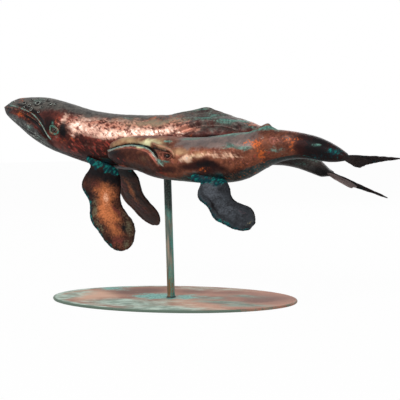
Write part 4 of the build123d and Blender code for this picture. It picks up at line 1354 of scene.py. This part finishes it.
def plate():
    """The oval plate: hammered top, worn rounded edge and a flat underside."""
    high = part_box("base_plate")[1]
    half_long, half_wide, thick = high.x, high.y, high.z / MM
    profile = [(share, thick, 0) for share in np.linspace(0.0, 0.985, 70)]
    profile += [
        (0.991, thick - 0.1, 1), (0.9955, thick - 0.35, 1), (0.9985, thick - 0.9, 1),
        (0.9995, thick - 1.6, 1),
    ]
    profile += [
        (0.9985, 0.9, 1), (0.9965, 0.3, 1), (0.994, 0.0, 1), (0.9, 0.0, 1), (0.5, 0.0, 1),
        (0.02, 0.0, 1),
    ]
    sides = 220
    points, edges, shares = [], [], []
    for share, level, edge in profile:
        for side in range(sides):
            angle = 2 * pi * side / sides
            ripple = abs(noise.noise(Vector((cos(angle) * 9, sin(angle) * 9, 3.0))))
            worn = 1 - 0.0022 * ripple * smooth(0.9, 0.99, share)
            reach = max(share, 0.003) * worn
            at = Vector((half_long * cos(angle) * reach, half_wide * sin(angle) * reach, 0))
            drop = 0
            if level == thick:
                dent = noise.voronoi(at / 0.011)[0][0]
                drop = (
                    0.09 * max(0.0, 1 - (dent / 0.6) ** 2)
                    + 0.12 * (0.5 + 0.5 * noise.noise(at / 0.05))
                )
            points.append((at.x, at.y, (level - drop) * MM))
            edges.append(edge)
            shares.append(share)
    faces = [tuple(range(sides))] + ring_faces(len(profile), sides, flipped=True)
    faces.append(tuple((len(profile) - 1) * sides + side for side in range(sides))[::-1])
    p = np.array(points) / MM
    x = p[:, 0] + 9 * grain(p, 40) + 4 * grain(p, 14)
    y = p[:, 1] + 7 * grain(p + 90, 40) + 3 * grain(p + 90, 14)
    edges, shares = np.array(edges), np.array(shares)
    marks = {
        "pale": patches(x, y, (-108, -8, 38, 36, 1.1), (62, -58, 44, 22, 0.6), (30, -32, 30, 18, 0.4)),
        "brown": patches(
            x, y, (-62, 36, 44, 34, 0.95), (116, 12, 36, 34, 0.95), (10, 48, 44, 22, 0.7),
            (60, 50, 40, 20, 0.7), (70, 6, 34, 26, 0.6),
        ),
        "grey_green": most(
            patches(
                x, y, (-38, -50, 60, 30, 1.0), (20, -78, 64, 24, 1.0), (-132, -20, 20, 44, 0.85),
                (20, 74, 70, 16, 0.5),
            ),
            smooth(0.88, 0.99, shares) * smooth(20, -60, x),
        ),
        "sage": patches(
            x, y, (45, 8, 34, 16, 0.8), (88, 28, 32, 17, 0.7), (72, -24, 36, 14, 0.85),
            (114, -36, 38, 16, 0.7),
        ),
        "verdigris": patches(
            x, y, (-24, 2, 26, 22, 1.1), (20, 8, 18, 20, 0.75), (-108, 52, 26, 24, 0.75),
            (0, 0, 14, 14, 0.9),
        ),
        "edge": (0.8 * edges + 0.35 * smooth(0.965, 0.985, shares)) * (1 - 0.6 * smooth(70, 130, x)),
        "soot_and_shade": 0.85 * smooth(7.2, 5.2, np.hypot(p[:, 0], p[:, 1])) + 0.2 * edges,
    }
    piece = make_piece("plate", points, faces, marks)
    return settle(piece, "stand", "plate_patina", plate_finish, "base_plate")


rod()
plate()
for fitting in ("rod_socket", "link_studs"):
    nodes[fitting].data.materials.clear()
    nodes[fitting].data.materials.append(inner_copper)


# Stage, light and camera

def plainly_seen(f):
    """1 or more for what the camera, gloss or glass sees, and 0 for light on the object."""
    seen = f.node("ShaderNodeLightPath", out="Is Camera Ray")
    mirrored = f.node("ShaderNodeLightPath", out="Is Glossy Ray")
    through = f.node("ShaderNodeLightPath", out="Is Transmission Ray")
    return seen + mirrored + through


def pale_floor():
    """A floor that is white to the camera and keeps a soft shadow."""
    f = Finish(bpy.data.materials.new("pale_floor"))
    matt = f.node("ShaderNodeBsdfDiffuse", {}, {"Color": (0.85, 0.85, 0.85, 1)})
    white = f.node("ShaderNodeEmission", {}, {"Color": (1, 1, 1, 1)})
    share = f.node("ShaderNodeMapRange", {}, {"Value": plainly_seen(f), "To Max": 0.97})
    mixed = f.node("ShaderNodeMixShader", {}, {0: share, 1: matt, 2: white})
    f.node("ShaderNodeOutputMaterial", {}, {"Surface": mixed})
    return f.owner


floor = make_piece("floor", [(-9, -9, 0), (9, -9, 0), (9, 9, 0), (-9, 9, 0)], [(0, 1, 2, 3)])
floor.data.materials.append(pale_floor())

sky = Finish(bpy.data.worlds.new("studio"))
level = sky.node("ShaderNodeMapRange", {}, {"Value": plainly_seen(sky), "To Min": 0.42, "To Max": 1.0})
white = sky.node("ShaderNodeBackground", {}, {"Color": (1, 1, 1, 1), "Strength": level})
sky.node("ShaderNodeOutputWorld", {}, {"Surface": white})
bpy.context.scene.world = sky.owner


def soft_lamp(name, place, target, size, power):
    """A square soft box that faces a point of the object."""
    lamp = bpy.data.lights.new(name, "AREA")
    lamp.energy = power
    lamp.size = size
    holder = bpy.data.objects.new(name, lamp)
    bpy.context.scene.collection.objects.link(holder)
    holder.location = place
    holder.rotation_euler = (Vector(target) - Vector(place)).to_track_quat("-Z", "Y").to_euler()


soft_lamp("key", place=(-0.35, -1.35, 1.25), target=(0, 0, 0.19), size=0.7, power=15)
soft_lamp("fill", place=(1.3, -1.2, 0.7), target=(0.05, 0, 0.19), size=0.8, power=4)
soft_lamp("rear", place=(0.2, 1.4, 1.1), target=(0, 0, 0.19), size=0.9, power=8)

LENS = 88.14
AZIMUTH, ELEVATION, ROLL = radians(23.128), radians(3.445), radians(1.686)
AIM = Vector((0.03585, 0.01531, 0.1219))
DISTANCE = 1.2
forward = Vector((-sin(AZIMUTH) * cos(ELEVATION), cos(AZIMUTH) * cos(ELEVATION), -sin(ELEVATION)))
right = Vector((cos(AZIMUTH), sin(AZIMUTH), 0))
upward = right.cross(forward)
camera_x = cos(ROLL) * right - sin(ROLL) * upward
camera_y = sin(ROLL) * right + cos(ROLL) * upward
lens = bpy.data.cameras.new("camera")
lens.lens = LENS
lens.sensor_fit = "HORIZONTAL"
lens.sensor_width = 36
camera = bpy.data.objects.new("camera", lens)
bpy.context.scene.collection.objects.link(camera)
facing = Matrix((camera_x, camera_y, -forward)).transposed().to_4x4()
camera.matrix_world = Matrix.Translation(AIM - forward * DISTANCE) @ facing
bpy.context.scene.camera = camera
bpy.context.scene.view_settings.view_transform = "Standard"
